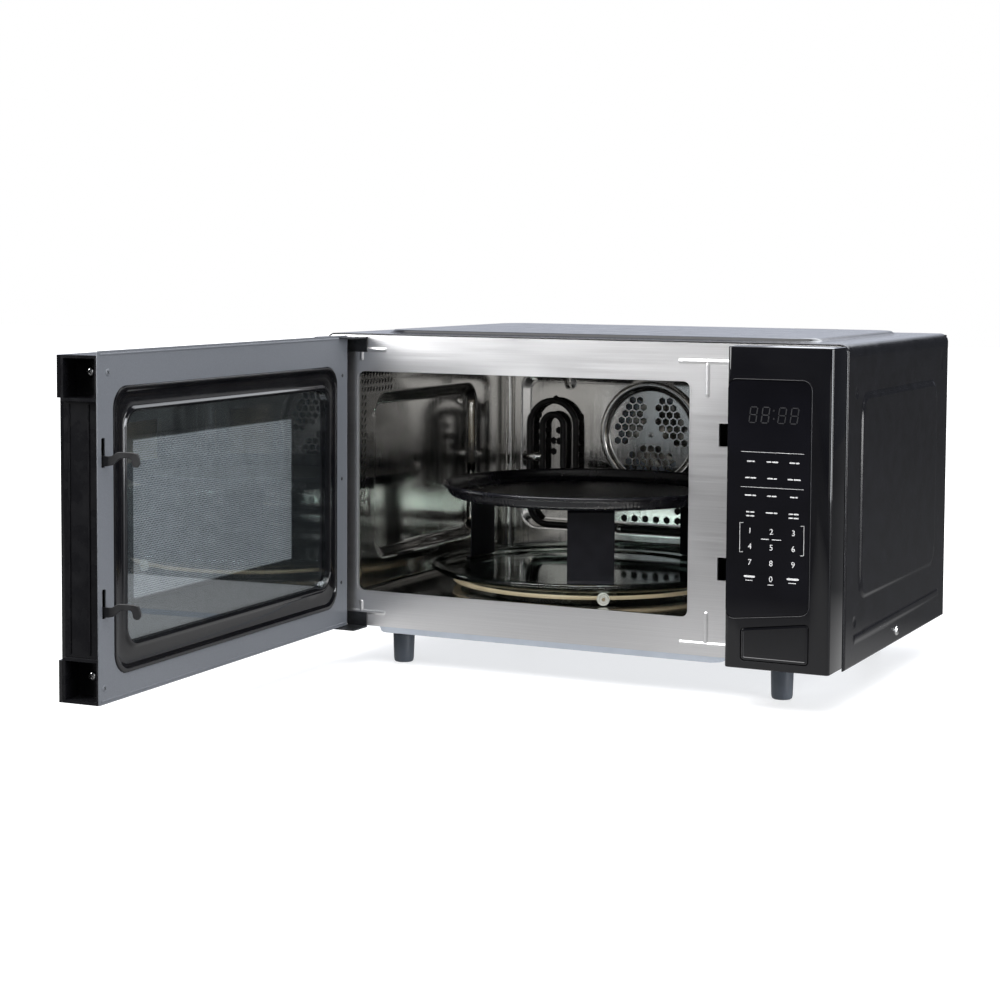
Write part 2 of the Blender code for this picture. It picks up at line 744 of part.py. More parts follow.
def make_rear_cover():
    low = (FRAME_LEFT, REAR_PLATE_Y, BASE_PLATE_Z)
    high = (FRAME_RIGHT, REAR_PLATE_Y + CASE_SHEET, FRAME_TOP)
    cover = block(
        "rear_cover", low, high, "case_paint", radius=CASE_CORNER - CASE_SHEET, top_only=True
    )
    bulge_low = (CAVITY_X - REAR_BULGE_HALF_WIDTH, REAR_PLATE_Y, REAR_BULGE_BOTTOM)
    bulge_high = (
        CAVITY_X + REAR_BULGE_HALF_WIDTH,
        CASE_DEPTH + REAR_BULGE_DEPTH,
        REAR_BULGE_TOP,
    )
    bulge = block("rear_bulge", bulge_low, bulge_high, radius=REAR_BULGE_CORNER)
    inset = Vector((CASE_SHEET, 0, CASE_SHEET))
    hollow_low = Vector(bulge_low) + inset - Vector((0, CASE_SHEET, 0))
    hollow_high = Vector(bulge_high) - inset - Vector((0, CASE_SHEET, 0))
    hollow = block("rear_hollow", hollow_low, hollow_high, radius=REAR_BULGE_CORNER - CASE_SHEET)
    spacer = cylinder(
        "rear_spacer",
        SPACER_RADIUS,
        (SPACER_X, REAR_PLATE_Y + CASE_SHEET / 2, SPACER_Z),
        (SPACER_X, CASE_DEPTH + SPACER_LENGTH, SPACER_Z),
        top=SPACER_RADIUS * 0.8,
    )
    cord_hole = cylinder(
        "rear_cord_hole",
        CORD_BUSH_RADIUS + GAP,
        (CORD_X, REAR_PLATE_Y - CASE_SHEET, CORD_Z),
        (CORD_X, REAR_PLATE_Y + 2 * CASE_SHEET, CORD_Z),
    )
    join(cover, bulge, spacer)
    cut(cover, hollow, cord_hole)
    for index in range(VENT_COUNT):
        z = VENT_BOTTOM + index * VENT_PITCH
        vent = block(
            f"rear_vent_{index}",
            (VENT_LEFT, REAR_PLATE_Y - CASE_SHEET, z),
            (VENT_RIGHT, REAR_PLATE_Y + 2 * CASE_SHEET, z + VENT_HEIGHT),
        )
        cut(cover, vent)


def make_cord_inlet():
    """Gland of the mains lead: a flanged bush with an open bore."""
    outside = 0.0060
    turned(
        "cord_inlet",
        [
            (CORD_BUSH_RADIUS - 0.0035, outside),
            (CORD_BUSH_RADIUS + 0.0015, outside),
            (CORD_BUSH_RADIUS + 0.0040, GAP),
            (CORD_BUSH_RADIUS, GAP),
            (CORD_BUSH_RADIUS, -0.0060),
            (CORD_BUSH_RADIUS - 0.0035, -0.0060),
        ],
        (CORD_X, REAR_PLATE_Y + CASE_SHEET, CORD_Z),
        "foot_plastic",
        turn=(-math.pi / 2, 0, 0),
        steps=24,
    )


# ---- control panel ----
def button_points(margin):
    return [
        (BUTTON_LEFT - margin, BUTTON_BOTTOM - margin),
        (BUTTON_RIGHT + margin, BUTTON_BOTTOM - margin),
        (BUTTON_RIGHT + margin, BUTTON_TOP_RIGHT + margin),
        (BUTTON_LEFT - margin, BUTTON_TOP_LEFT + margin),
    ]


def fascia_points(margin):
    return [
        (PANEL_LEFT - PANEL_WALL, FASCIA_BOTTOM_LEFT - margin),
        (FASCIA_RIGHT + margin, FASCIA_BOTTOM_RIGHT - margin),
        (FASCIA_RIGHT + margin, FASCIA_TOP + margin),
        (PANEL_LEFT - PANEL_WALL, FASCIA_TOP + margin),
    ]


def make_control_panel():
    front = -PANEL_DEPTH
    panel = block(
        "control_panel",
        (PANEL_LEFT, front, PANEL_BOTTOM),
        (HALF, -GAP, PANEL_TOP + PANEL_ABOVE_DOOR),
        "panel_gloss",
        radius=PANEL_EDGE,
        axis="Z",
    )
    inside = block(
        "panel_inside",
        (PANEL_LEFT + PANEL_WALL, front + PANEL_WALL + FASCIA_RECESS, PANEL_BOTTOM + PANEL_WALL),
        (HALF - PANEL_WALL, PANEL_WALL, PANEL_TOP + PANEL_ABOVE_DOOR - PANEL_WALL),
    )
    recess = outline(
        "panel_recess", fascia_points(0.0), front - FASCIA_RECESS, front + FASCIA_RECESS, radius=FASCIA_CORNER
    )
    button_hole = outline(
        "panel_button_hole",
        button_points(BUTTON_GAP),
        front - PANEL_WALL,
        front + 3 * PANEL_WALL,
        radius=BUTTON_CORNER,
    )
    cut(panel, inside, recess, button_hole)


def make_fascia():
    front = -PANEL_DEPTH + FASCIA_RECESS - GAP
    sheet = outline(
        "control_fascia", fascia_points(-GAP), front - FASCIA_SHEET, front, "fascia_glass", radius=FASCIA_CORNER
    )
    edge = block(
        "fascia_trim",
        (PANEL_LEFT - 4 * PANEL_WALL, front - 2 * FASCIA_SHEET, PANEL_BOTTOM),
        (PANEL_LEFT + PANEL_EDGE, front + FASCIA_SHEET, PANEL_TOP),
    )
    cut(sheet, edge)


def make_door_button():
    front = -PANEL_DEPTH
    button = outline(
        "door_button", button_points(0.0), front, front + BUTTON_CAP, "panel_gloss", radius=BUTTON_CORNER
    )
    stem = block(
        "button_stem",
        (STEM_X - STEM_HALF, front + BUTTON_CAP / 2, STEM_Z - STEM_HALF),
        (STEM_X + STEM_HALF, STEM_REACH, STEM_Z + STEM_HALF),
    )
    join(button, stem)


def helix(centre, radius, low, high, turns, axis, per_turn=8):
    """Points of a coil about a line along the named axis."""
    count = turns * per_turn
    points = []
    for index in range(count + 1):
        angle = 2 * math.pi * index / per_turn
        along = low + (high - low) * index / count
        across = (radius * math.cos(angle), radius * math.sin(angle))
        if axis == "Y":
            points.append((centre[0] + across[0], along, centre[1] + across[1]))
        else:
            points.append((centre[0] + across[0], centre[1] + across[1], along))
    return points


def make_button_spring():
    wire(
        "button_spring",
        helix(
            (BUTTON_SPRING_X, STEM_Z),
            0.0045,
            -PANEL_DEPTH + BUTTON_CAP + SPRING_WIRE + GAP,
            -GAP - SPRING_WIRE - GAP,
            6,
            "Y",
        ),
        SPRING_WIRE,
        "screw_steel",
        sides=1,
    )


# ---- release rocker and interlocks ----
def make_release_rocker():
    """The lever that the button's stem pushes: its post rises under the latch's lower hook."""
    arm_y = STEM_REACH + STEM_CLEARANCE
    rocker = cylinder(
        "release_rocker",
        ROCKER_HUB,
        (ROCKER_LEFT, ROCKER_PIVOT_Y, ROCKER_PIVOT_Z),
        (STEM_X + STEM_HALF, ROCKER_PIVOT_Y, ROCKER_PIVOT_Z),
        "latch_plastic",
    )
    arm = block(
        "rocker_arm",
        (STEM_X - STEM_HALF, arm_y, STEM_Z - STEM_HALF),
        (STEM_X + STEM_HALF, arm_y + ROCKER_THICK, ROCKER_PIVOT_Z),
    )
    finger = block(
        "rocker_finger",
        (ROCKER_LEFT, ROCKER_PIVOT_Y, ROCKER_PIVOT_Z - ROCKER_THICK / 2),
        (HOOK_X + ROCKER_THICK, ROCKER_POST_Y + ROCKER_THICK, ROCKER_PIVOT_Z + ROCKER_THICK / 2),
    )
    post = block(
        "rocker_post",
        (ROCKER_LEFT, ROCKER_POST_Y, ROCKER_PIVOT_Z),
        (HOOK_X + ROCKER_THICK, ROCKER_POST_Y + ROCKER_THICK, ROCKER_POST_TOP),
    )
    bore = cylinder(
        "rocker_bore",
        ROCKER_BORE,
        (ROCKER_LEFT - ROCKER_THICK, ROCKER_PIVOT_Y, ROCKER_PIVOT_Z),
        (STEM_X + 2 * STEM_HALF, ROCKER_PIVOT_Y, ROCKER_PIVOT_Z),
    )
    join(rocker, arm, finger, post)
    cut(rocker, bore)


def make_interlock_bracket():
    """Board behind the frame that carries the interlock switches and the rocker's pin."""
    front = FRAME_SHEET + GAP
    bracket = block(
        "interlock_bracket",
        (BRACKET_LEFT, front, BRACKET_BOTTOM),
        (BRACKET_LEFT + BRACKET_SHEET, BRACKET_BACK_Y, BRACKET_TOP),
        "latch_plastic",
    )
    back = block(
        "bracket_back",
        (BRACKET_LEFT + BRACKET_SHEET / 2, BRACKET_BACK_Y - BRACKET_SHEET, BRACKET_BOTTOM),
        (LATCH_SLOT_RIGHT, BRACKET_BACK_Y, BRACKET_TOP),
    )
    pin = cylinder(
        "bracket_pin",
        ROCKER_BORE - 2 * GAP,
        (BRACKET_LEFT + BRACKET_SHEET / 2, ROCKER_PIVOT_Y, ROCKER_PIVOT_Z),
        (STEM_X + 2 * STEM_HALF, ROCKER_PIVOT_Y, ROCKER_PIVOT_Z),
        steps=12,
    )
    join(bracket, back, pin)


def make_switches():
    """Interlock switches behind the latch slots, each with its own lever arm."""
    face_y = DOOR_INNER_Y + HOOK_REACH + SWITCH_CLEARANCE + SWITCH_LEVER
    for name, slot_z in zip(("door_switch_upper", "door_switch_lower"), LATCH_SLOTS):
        low = Vector((HOOK_X - SWITCH_SIZE[0] / 2, face_y, slot_z - SWITCH_SIZE[2] / 2))
        body = block(name, low, low + Vector(SWITCH_SIZE), "switch_plastic")
        lever = block(
            name + "_lever",
            (HOOK_X - 0.0020, face_y - SWITCH_LEVER, slot_z - 0.0080),
            (HOOK_X + 0.0020, face_y + SWITCH_LEVER, slot_z + 0.0070),
        )
        join(body, lever)


# ---- electronics behind the fascia ----
def make_electronics():
    board_y = -PANEL_DEPTH + 0.0170
    block(
        "control_board",
        (PANEL_LEFT + 0.0060, board_y, FASCIA_BOTTOM_RIGHT + 0.0200),
        (FASCIA_RIGHT + 0.0080, board_y + 0.0016, FASCIA_TOP - 0.0040),
        "circuit_board",
    )
    display_front = -PANEL_DEPTH + PANEL_WALL + FASCIA_RECESS + GAP
    block(
        "display_module",
        (PANEL_LEFT + 0.0110, display_front, FASCIA_TOP - 0.0440),
        (FASCIA_RIGHT - 0.0070, board_y - GAP, FASCIA_TOP - 0.0160),
        "display_glass",
    )


# ---- door ----
def make_door_outer_glass():
    glass = block(
        "door_outer_glass",
        (DOOR_LEFT, DOOR_OUTER_Y, PANEL_BOTTOM),
        (DOOR_RIGHT, DOOR_OUTER_Y + DOOR_GLASS, PANEL_TOP),
        "door_glass",
        DOOR,
    )
    notch = block(
        "glass_end_notch",
        (DOOR_RIGHT - END_NOTCH, DOOR_OUTER_Y - DOOR_GLASS, PANEL_BOTTOM + POCKET_HEIGHT),
        (DOOR_RIGHT + END_NOTCH, DOOR_OUTER_Y + 2 * DOOR_GLASS, PANEL_TOP - POCKET_HEIGHT),
        parent=DOOR,
    )
    cut(glass, notch)


def make_door_shell():
    """Moulded tray between the outer glass and the inner sheet, with a pocket at each end corner."""
    low = Vector((DOOR_LEFT, DOOR_OUTER_Y + DOOR_GLASS + GAP, PANEL_BOTTOM))
    high = Vector((DOOR_RIGHT, DOOR_INNER_Y - INNER_PANEL_SHEET - GAP, PANEL_TOP))
    shell = block("door_shell", low, high, "door_plastic", DOOR)
    inside = block(
        "shell_inside",
        (low.x + SHELL_WALL, low.y - SHELL_WALL, low.z + SHELL_WALL),
        (high.x - POCKET_DEPTH - SHELL_WALL, high.y + SHELL_WALL, high.z - SHELL_WALL),
        parent=DOOR,
    )
    middle = block(
        "shell_middle",
        (high.x - 2 * POCKET_DEPTH, low.y - SHELL_WALL, low.z + POCKET_HEIGHT + SHELL_WALL),
        (high.x + SHELL_WALL, high.y + SHELL_WALL, high.z - POCKET_HEIGHT - SHELL_WALL),
        parent=DOOR,
    )
    cut(shell, inside, middle)
    pocket_floors = (low.z + SHELL_WALL, high.z - POCKET_HEIGHT)
    for index, floor_z in enumerate(pocket_floors):
        pocket = block(
            f"shell_pocket_{index}",
            (high.x - POCKET_DEPTH, low.y + SHELL_WALL, floor_z),
            (high.x + SHELL_WALL, high.y - SHELL_WALL / 2, floor_z + POCKET_HEIGHT - SHELL_WALL),
            parent=DOOR,
        )
        screw_hole = cylinder(
            f"shell_screw_hole_{index}",
            DOOR_SCREW_SHANK + GAP,
            (high.x - POCKET_DEPTH - 2 * SHELL_WALL, door_screw_y(), floor_z + POCKET_HEIGHT / 2),
            (high.x, door_screw_y(), floor_z + POCKET_HEIGHT / 2),
            parent=DOOR,
            steps=12,
        )
        cut(shell, pocket, screw_hole)
    for index, (bottom, top) in enumerate(
        ((low.z - SHELL_WALL, low.z + 2 * SHELL_WALL), (high.z - 2 * SHELL_WALL, high.z + SHELL_WALL))
    ):
        pin_hole = cylinder(
            f"shell_pin_hole_{index}",
            HINGE_PIN_RADIUS + HINGE_PIN_CLEARANCE,
            (HINGE_X, HINGE_Y, bottom),
            (HINGE_X, HINGE_Y, top),
            parent=DOOR,
        )
        cut(shell, pin_hole)


def door_screw_y():
    return (DOOR_OUTER_Y + DOOR_INNER_Y) / 2


def make_door_screws():
    centres = {
        "door_screw_upper": PANEL_TOP - POCKET_HEIGHT / 2,
        "door_screw_lower": PANEL_BOTTOM + SHELL_WALL + POCKET_HEIGHT / 2,
    }
    for name, z in centres.items():
        turned(
            name,
            [
                (0, 0.0026),
                (DOOR_SCREW_HEAD * 0.75, 0.0022),
                (DOOR_SCREW_HEAD, GAP),
                (DOOR_SCREW_SHANK, GAP),
                (DOOR_SCREW_SHANK, -0.0080),
                (0, -0.0080),
            ],
            (DOOR_RIGHT - POCKET_DEPTH, door_screw_y(), z),
            "screw_steel",
            DOOR,
            turn=(0, math.pi / 2, 0),
            steps=SMALL_STEPS,
        )


def make_door_inner_panel():
    panel = block(
        "door_inner_panel",
        (DOOR_LEFT, DOOR_INNER_Y - INNER_PANEL_SHEET, PANEL_BOTTOM),
        (DOOR_RIGHT, DOOR_INNER_Y, PANEL_TOP),
        "inner_paint",
        DOOR,
    )
    opening = block(
        "inner_panel_opening",
        (RING_LEFT, DOOR_INNER_Y - 2 * INNER_PANEL_SHEET, RING_BOTTOM),
        (RING_RIGHT, DOOR_INNER_Y + INNER_PANEL_SHEET, RING_TOP),
        parent=DOOR,
        radius=RING_CORNER,
    )
    cut(panel, opening)
    for index, hook_z in enumerate((HOOK_UPPER_Z, HOOK_LOWER_Z)):
        slot = block(
            f"inner_panel_slot_{index}",
            (
                HOOK_X - HOOK_SHEET / 2 - PANEL_SLOT_CLEARANCE,
                DOOR_INNER_Y - 2 * INNER_PANEL_SHEET,
                hook_z - HOOK_HALF - PANEL_SLOT_CLEARANCE,
            ),
            (
                HOOK_X + HOOK_SHEET / 2 + PANEL_SLOT_CLEARANCE,
                DOOR_INNER_Y + INNER_PANEL_SHEET,
                hook_z + 2 * HOOK_HALF + LATCH_TRAVEL,
            ),
            parent=DOOR,
        )
        cut(panel, slot)


def make_choke_ring():
    front = DOOR_INNER_Y + RING_PROUD
    ring = block(
        "door_choke_ring",
        (RING_LEFT + GAP, front - RING_DEPTH, RING_BOTTOM + GAP),
        (RING_RIGHT - GAP, front, RING_TOP - GAP),
        "ring_gloss",
        DOOR,
        radius=RING_CORNER,
    )
    window = block(
        "ring_window",
        (WINDOW_LEFT, front - 2 * RING_DEPTH, WINDOW_BOTTOM),
        (WINDOW_RIGHT, front + RING_DEPTH, WINDOW_TOP),
        parent=DOOR,
        radius=WINDOW_CORNER,
    )
    cut(ring, window)


def make_inner_glass():
    front = DOOR_INNER_Y + RING_PROUD - INNER_GLASS_SET_BACK
    block(
        "door_inner_glass",
        (WINDOW_LEFT + GAP, front - INNER_GLASS, WINDOW_BOTTOM + GAP),
        (WINDOW_RIGHT - GAP, front, WINDOW_TOP - GAP),
        "clear_glass",
        DOOR,
        radius=WINDOW_CORNER,
    )


def make_door_screen():
    front = DOOR_INNER_Y + RING_PROUD - RING_DEPTH - GAP
    block(
        "door_screen",
        (RING_LEFT + GAP, front - SCREEN_SHEET, RING_BOTTOM + GAP),
        (RING_RIGHT - GAP, front, RING_TOP - GAP),
        "screen_steel",
        DOOR,
        radius=RING_CORNER,
    )


def make_end_cover():
    edge = DOOR_RIGHT - END_COVER_SET_BACK
    block(
        "door_end_cover",
        (
            edge - END_COVER_SHEET,
            DOOR_OUTER_Y + DOOR_GLASS + 2 * GAP,
            PANEL_BOTTOM + POCKET_HEIGHT + SHELL_WALL + GAP,
        ),
        (
            edge,
            DOOR_INNER_Y - INNER_PANEL_SHEET - 2 * GAP,
            PANEL_TOP - POCKET_HEIGHT - SHELL_WALL - GAP,
        ),
        "door_plastic",
        DOOR,
    )


def hook_points(z):
    """Side view of one hook, as (y, z): an arm that steps up, then drops to a catch."""
    face = DOOR_INNER_Y
    tip = face + HOOK_REACH
    return [
        (face - 0.0100, z - HOOK_HALF),
        (face + 0.0050, z - HOOK_HALF),
        (face + 0.0110, z - HOOK_HALF + 0.0020),
        (face + 0.0170, z + 0.0010),
        (tip - 0.0085, z + 0.0010),
        (tip - 0.0065, z - HOOK_HALF + 0.0005),
        (tip - 0.0020, z - HOOK_HALF),
        (tip, z - 0.0020),
        (tip - 0.0025, z + HOOK_HALF - 0.0010),
        (face + 0.0140, z + HOOK_HALF),
        (face + 0.0080, z + HOOK_HALF - 0.0040),
        (face - 0.0100, z + HOOK_HALF - 0.0040),
    ]


def make_door_latch():
    low_x = HOOK_X - HOOK_SHEET / 2
    high_x = HOOK_X + HOOK_SHEET / 2
    back = DOOR_INNER_Y - 0.0200
    front = DOOR_INNER_Y - 0.0080
    latch = block(
        "door_latch",
        (low_x, back, HOOK_LOWER_Z - 2 * HOOK_HALF),
        (high_x, front, HOOK_UPPER_Z + 2 * HOOK_HALF),
        "latch_plastic",
        LATCH,
    )
    for index, z in enumerate((HOOK_UPPER_Z, HOOK_LOWER_Z)):
        join(latch, side_outline(f"latch_hook_{index}", hook_points(z), low_x, high_x, parent=LATCH))


def make_latch_spring():
    top = HOOK_LOWER_Z - 2 * HOOK_HALF - SPRING_WIRE - GAP
    bottom = PANEL_BOTTOM + POCKET_HEIGHT + SHELL_WALL + SPRING_WIRE + GAP
    wire(
        "latch_spring",
        helix((HOOK_X, DOOR_INNER_Y - 0.0140), 0.0017, bottom, top, 5, "Z"),
        SPRING_WIRE,
        "screw_steel",
        DOOR,
        sides=1,
    )


# ---- hinges ----
def make_hinges():
    """Each hinge is a plate over the door's edge, folded onto the front frame, and a pin in it."""
    tab_front = -GAP - HINGE_PLATE
    sides = {
        "top": (PANEL_TOP + HINGE_PLATE_GAP, 1),
        "bottom": (PANEL_BOTTOM - HINGE_PLATE_GAP, -1),
    }
    for name, (face, way) in sides.items():
        far = face + way * HINGE_PLATE
        plate = block(
            f"hinge_bracket_{name}",
            (CASE_LEFT + 0.0015, HINGE_Y - 0.0085, min(face, far)),
            (HINGE_TAB_RIGHT, -GAP, max(face, far)),
            "hinge_zinc",
        )
        tab_end = far - way * HINGE_TAB_HEIGHT
        tab = block(
            f"hinge_tab_{name}",
            (HINGE_TAB_LEFT, tab_front, min(far, tab_end)),
            (HINGE_TAB_RIGHT, -GAP, max(far, tab_end)),
        )
        hole = cylinder(
            f"hinge_hole_{name}",
            HINGE_PIN_RADIUS + 0.00005,
            (HINGE_X, HINGE_Y, min(face, far) - HINGE_PLATE),
            (HINGE_X, HINGE_Y, max(face, far) + HINGE_PLATE),
        )
        join(plate, tab)
        cut(plate, hole)
        pin_end = far - way * HINGE_PIN_LENGTH
        cylinder(
            f"hinge_pin_{name}",
            HINGE_PIN_RADIUS,
            (HINGE_X, HINGE_Y, min(far, pin_end)),
            (HINGE_X, HINGE_Y, max(far, pin_end)),
            "hinge_zinc",
        )


# ---- turntable ----
def make_turntable_motor():
    top = FLOOR_Z - LINER_SHEET - GAP
    motor = cylinder(
        "turntable_motor",
        TURN_MOTOR_RADIUS,
        (CAVITY_X, TRAY_Y, top - 0.0160),
        (CAVITY_X, TRAY_Y, top),
        "hinge_zinc",
        steps=24,
    )
    socket = cylinder(
        "motor_socket",
        SHAFT_HOLE,
        (CAVITY_X, TRAY_Y, top - 0.0080),
        (CAVITY_X, TRAY_Y, top + 0.0080),
    )
    cut(motor, socket)


def make_coupler():
    """Three-armed drive hub, on the motor's shaft, under the tray."""
    top = TRAY_BOTTOM - TRAY_GAP
    coupler = cylinder(
        "turntable_coupler",
        SHAFT_RADIUS,
        (CAVITY_X, TRAY_Y, FLOOR_Z - 0.0070),
        (CAVITY_X, TRAY_Y, top),
        "coupler_plastic",
        TURNTABLE,
    )
    hub = cylinder(
        "coupler_hub",
        COUPLER_RADIUS * 0.7,
        (CAVITY_X, TRAY_Y, FLOOR_Z + 0.0015),
        (CAVITY_X, TRAY_Y, top),
        parent=TURNTABLE,
        steps=24,
    )
    join(coupler, hub)
    for index in range(3):
        angle = 2 * math.pi * index / 3
        arm = block_mesh(f"coupler_arm_{index}", (COUPLER_ARM, 0.0080, 0.0060))
        centre = (
            CAVITY_X + COUPLER_ARM / 2 * math.cos(angle),
            TRAY_Y + COUPLER_ARM / 2 * math.sin(angle),
            top - 0.0030,
        )
        made = new_object(f"coupler_arm_{index}", arm, centre, parent=TURNTABLE)
        made.rotation_euler = (0, 0, angle)
        join(coupler, made)


def make_glass_tray():
    """Flat glass disc with a raised, rounded rim and a shallow step inside it."""
    rim = TRAY_RADIUS
    glass = TRAY_GLASS
    turned(
        "glass_tray",
        [
            (0, glass),
            (rim * 0.735, glass),
            (rim * 0.755, glass + TRAY_STEP),
            (rim * 0.930, glass + TRAY_STEP + GAP),
            (rim - 0.0055, TRAY_HEIGHT - 0.0004),
            (rim - 0.0030, TRAY_HEIGHT),
            (rim - 0.0006, TRAY_HEIGHT - 0.0010),
            (rim, TRAY_HEIGHT - 0.0032),
            (rim - 0.0025, TRAY_HEIGHT - 0.0052),
            (rim * 0.950, 0.0014),
            (rim * 0.920, 0),
            (0, 0),
        ],
        (CAVITY_X, TRAY_Y, TRAY_BOTTOM),
        "tray_glass",
        TRAY,
    )


def make_roller_ring():
    """Flat ring with three short axles that point outwards, one in each roller."""
    wheel_z = FLOOR_Z + ROLLER_RADIUS + TRAY_GAP
    ring = turned(
        "roller_ring",
        [
            (ROLLER_CIRCLE - RING_BAND - ROLLER_WIDTH, RING_BAND_THICK / 2),
            (ROLLER_CIRCLE - ROLLER_WIDTH, RING_BAND_THICK / 2),
            (ROLLER_CIRCLE - ROLLER_WIDTH, -RING_BAND_THICK / 2),
            (ROLLER_CIRCLE - RING_BAND - ROLLER_WIDTH, -RING_BAND_THICK / 2),
        ],
        (CAVITY_X, TRAY_Y, wheel_z),
        "ring_plastic",
        ROLLERS,
    )
    for index in range(3):
        direction = roller_direction(index)
        start = Vector((CAVITY_X, TRAY_Y, wheel_z)) + direction * (ROLLER_CIRCLE - ROLLER_WIDTH - 0.003)
        end = Vector((CAVITY_X, TRAY_Y, wheel_z)) + direction * (ROLLER_CIRCLE + ROLLER_WIDTH / 2 + 0.001)
        axle = cylinder(f"ring_axle_{index}", ROLLER_PIN, start, end, parent=ROLLERS, steps=12)
        join(ring, axle)


def roller_direction(index):
    angle = math.radians(ROLLER_FIRST_ANGLE + 120 * index)
    return Vector((math.cos(angle), math.sin(angle), 0))


def make_rollers():
    wheel_z = FLOOR_Z + ROLLER_RADIUS + TRAY_GAP
    for index in range(3):
        direction = roller_direction(index)
        centre = Vector((CAVITY_X, TRAY_Y, wheel_z)) + direction * ROLLER_CIRCLE
        name = f"roller_{index + 1}"
        half = ROLLER_WIDTH / 2
        made = turned(
            name,
            [
                (ROLLER_BORE, half),
                (ROLLER_RADIUS - 0.0008, half),
                (ROLLER_RADIUS, half - 0.0008),
                (ROLLER_RADIUS, -half + 0.0008),
                (ROLLER_RADIUS - 0.0008, -half),
                (ROLLER_BORE, -half),
            ],
            centre,
            "roller_plastic",
            ROLLERS,
            steps=SMALL_STEPS,
        )
        made.rotation_euler = direction.to_track_quat("Z", "Y").to_euler()


# ---- crisper pan ----
def make_crisper_pan():
    top = PAN_DEPTH
    sheet = PAN_SHEET
    turned(
        "crisper_pan",
        [
            (0, sheet),
            (PAN_FLOOR_RADIUS, sheet),
            (PAN_FLOOR_RADIUS + 0.0060, sheet + 0.0030),
            (PAN_RADIUS - 0.0050, top - 0.0012),
            (PAN_RADIUS - 0.0036, top),
            (PAN_RADIUS - 0.0012, top),
            (PAN_RADIUS, top - 0.0012),
            (PAN_RADIUS - 0.0002, top - 0.0034),
            (PAN_RADIUS - 0.0022, top - 0.0044),
            (PAN_FLOOR_RADIUS + 0.0070, 0.0028),
            (PAN_FLOOR_RADIUS + 0.0012, 0),
            (0, 0),
        ],
        (CAVITY_X, TRAY_Y, PAN_RIM_Z - PAN_DEPTH),
        "pan_coating",
        CRISPER,
    )


def make_pan_legs():
    """Flat legs under the pan, each bent inwards at the top and outwards at its toe."""
    foot_z = TRAY_BOTTOM + TRAY_GLASS + TRAY_STEP + 2 * GAP
    top_z = PAN_RIM_Z - PAN_DEPTH - GAP
    for index in range(LEG_COUNT):
        angle = math.radians(LEG_FIRST_ANGLE - 120 * index)
        out = Vector((math.cos(angle), math.sin(angle), 0))
        name = f"pan_leg_{index + 1}"
        centre = Vector((CAVITY_X, TRAY_Y, (foot_z + top_z) / 2)) + out * LEG_RADIUS
        leg = new_object(
            name,
            block_mesh(name, (LEG_SHEET, LEG_WIDTH, top_z - foot_z)),
            centre,
            "pan_coating",
            CRISPER,
        )
        leg.rotation_euler = (0, 0, angle)
        bends = {"toe": (LEG_TOE / 2, foot_z + LEG_SHEET / 2), "tab": (-LEG_TOE / 2, top_z - LEG_SHEET / 2)}
        for bend, (along, z) in bends.items():
            tab = new_object(
                f"{name}_{bend}",
                block_mesh(f"{name}_{bend}", (LEG_TOE + LEG_SHEET, LEG_WIDTH * 0.99, LEG_SHEET)),
                Vector((CAVITY_X, TRAY_Y, z)) + out * (LEG_RADIUS + along),
                parent=CRISPER,
            )
            tab.rotation_euler = (0, 0, angle)
            join(leg, tab)


# ---- convection ----
def make_fan_grille():
    """Dished, perforated disc over the fan, pressed out towards the food."""
    face = CAVITY_DEPTH - GAP
    grille = turned(
        "fan_grille",
        [
            (0, GRILLE_SHEET),
            (GRILLE_DISC_RADIUS - 0.0020, GRILLE_SHEET),
            (GRILLE_DISC_RADIUS, GRILLE_RISE - 0.0010),
            (GRILLE_RADIUS - 0.0060, GRILLE_RISE),
            (GRILLE_RADIUS - 0.0020, GRILLE_RISE - 0.0016),
            (GRILLE_RADIUS, GRILLE_SHEET),
            (GRILLE_RADIUS, 0),
            (0, 0),
        ],
        (CAVITY_X, face, GRILLE_Z),
        "cavity_steel",
        turn=(math.pi / 2, 0, 0),
    )
    places = []
    for index in range(GRILLE_HOLES):
        angle = 2 * math.pi * index / GRILLE_HOLES
        places.append(
            (CAVITY_X + GRILLE_HOLE_CIRCLE * math.cos(angle), GRILLE_Z + GRILLE_HOLE_CIRCLE * math.sin(angle))
        )
    cut(grille, drill("grille_holes", places, GRILLE_HOLE, face - 2 * GRILLE_RISE, face + GRILLE_RISE))


def make_convection_housing():
    """Pan behind the cavity's rear wall: the fan turns inside it."""
    start = CAVITY_DEPTH + LINER_SHEET + GAP
    sheet = HOUSING_SHEET
    turned(
        "convection_housing",
        [
            (CONVECTION_BORE, HOUSING_DEPTH),
            (HOUSING_RADIUS, HOUSING_DEPTH),
            (HOUSING_RADIUS, sheet),
            (HOUSING_RADIUS + 0.0060, sheet),
            (HOUSING_RADIUS + 0.0060, 0),
            (HOUSING_RADIUS - sheet, 0),
            (HOUSING_RADIUS - sheet, HOUSING_DEPTH - sheet),
            (CONVECTION_BORE, HOUSING_DEPTH - sheet),
        ],
        (CAVITY_X, start, GRILLE_Z),
        "galvanised",
        turn=(-math.pi / 2, 0, 0),
    )


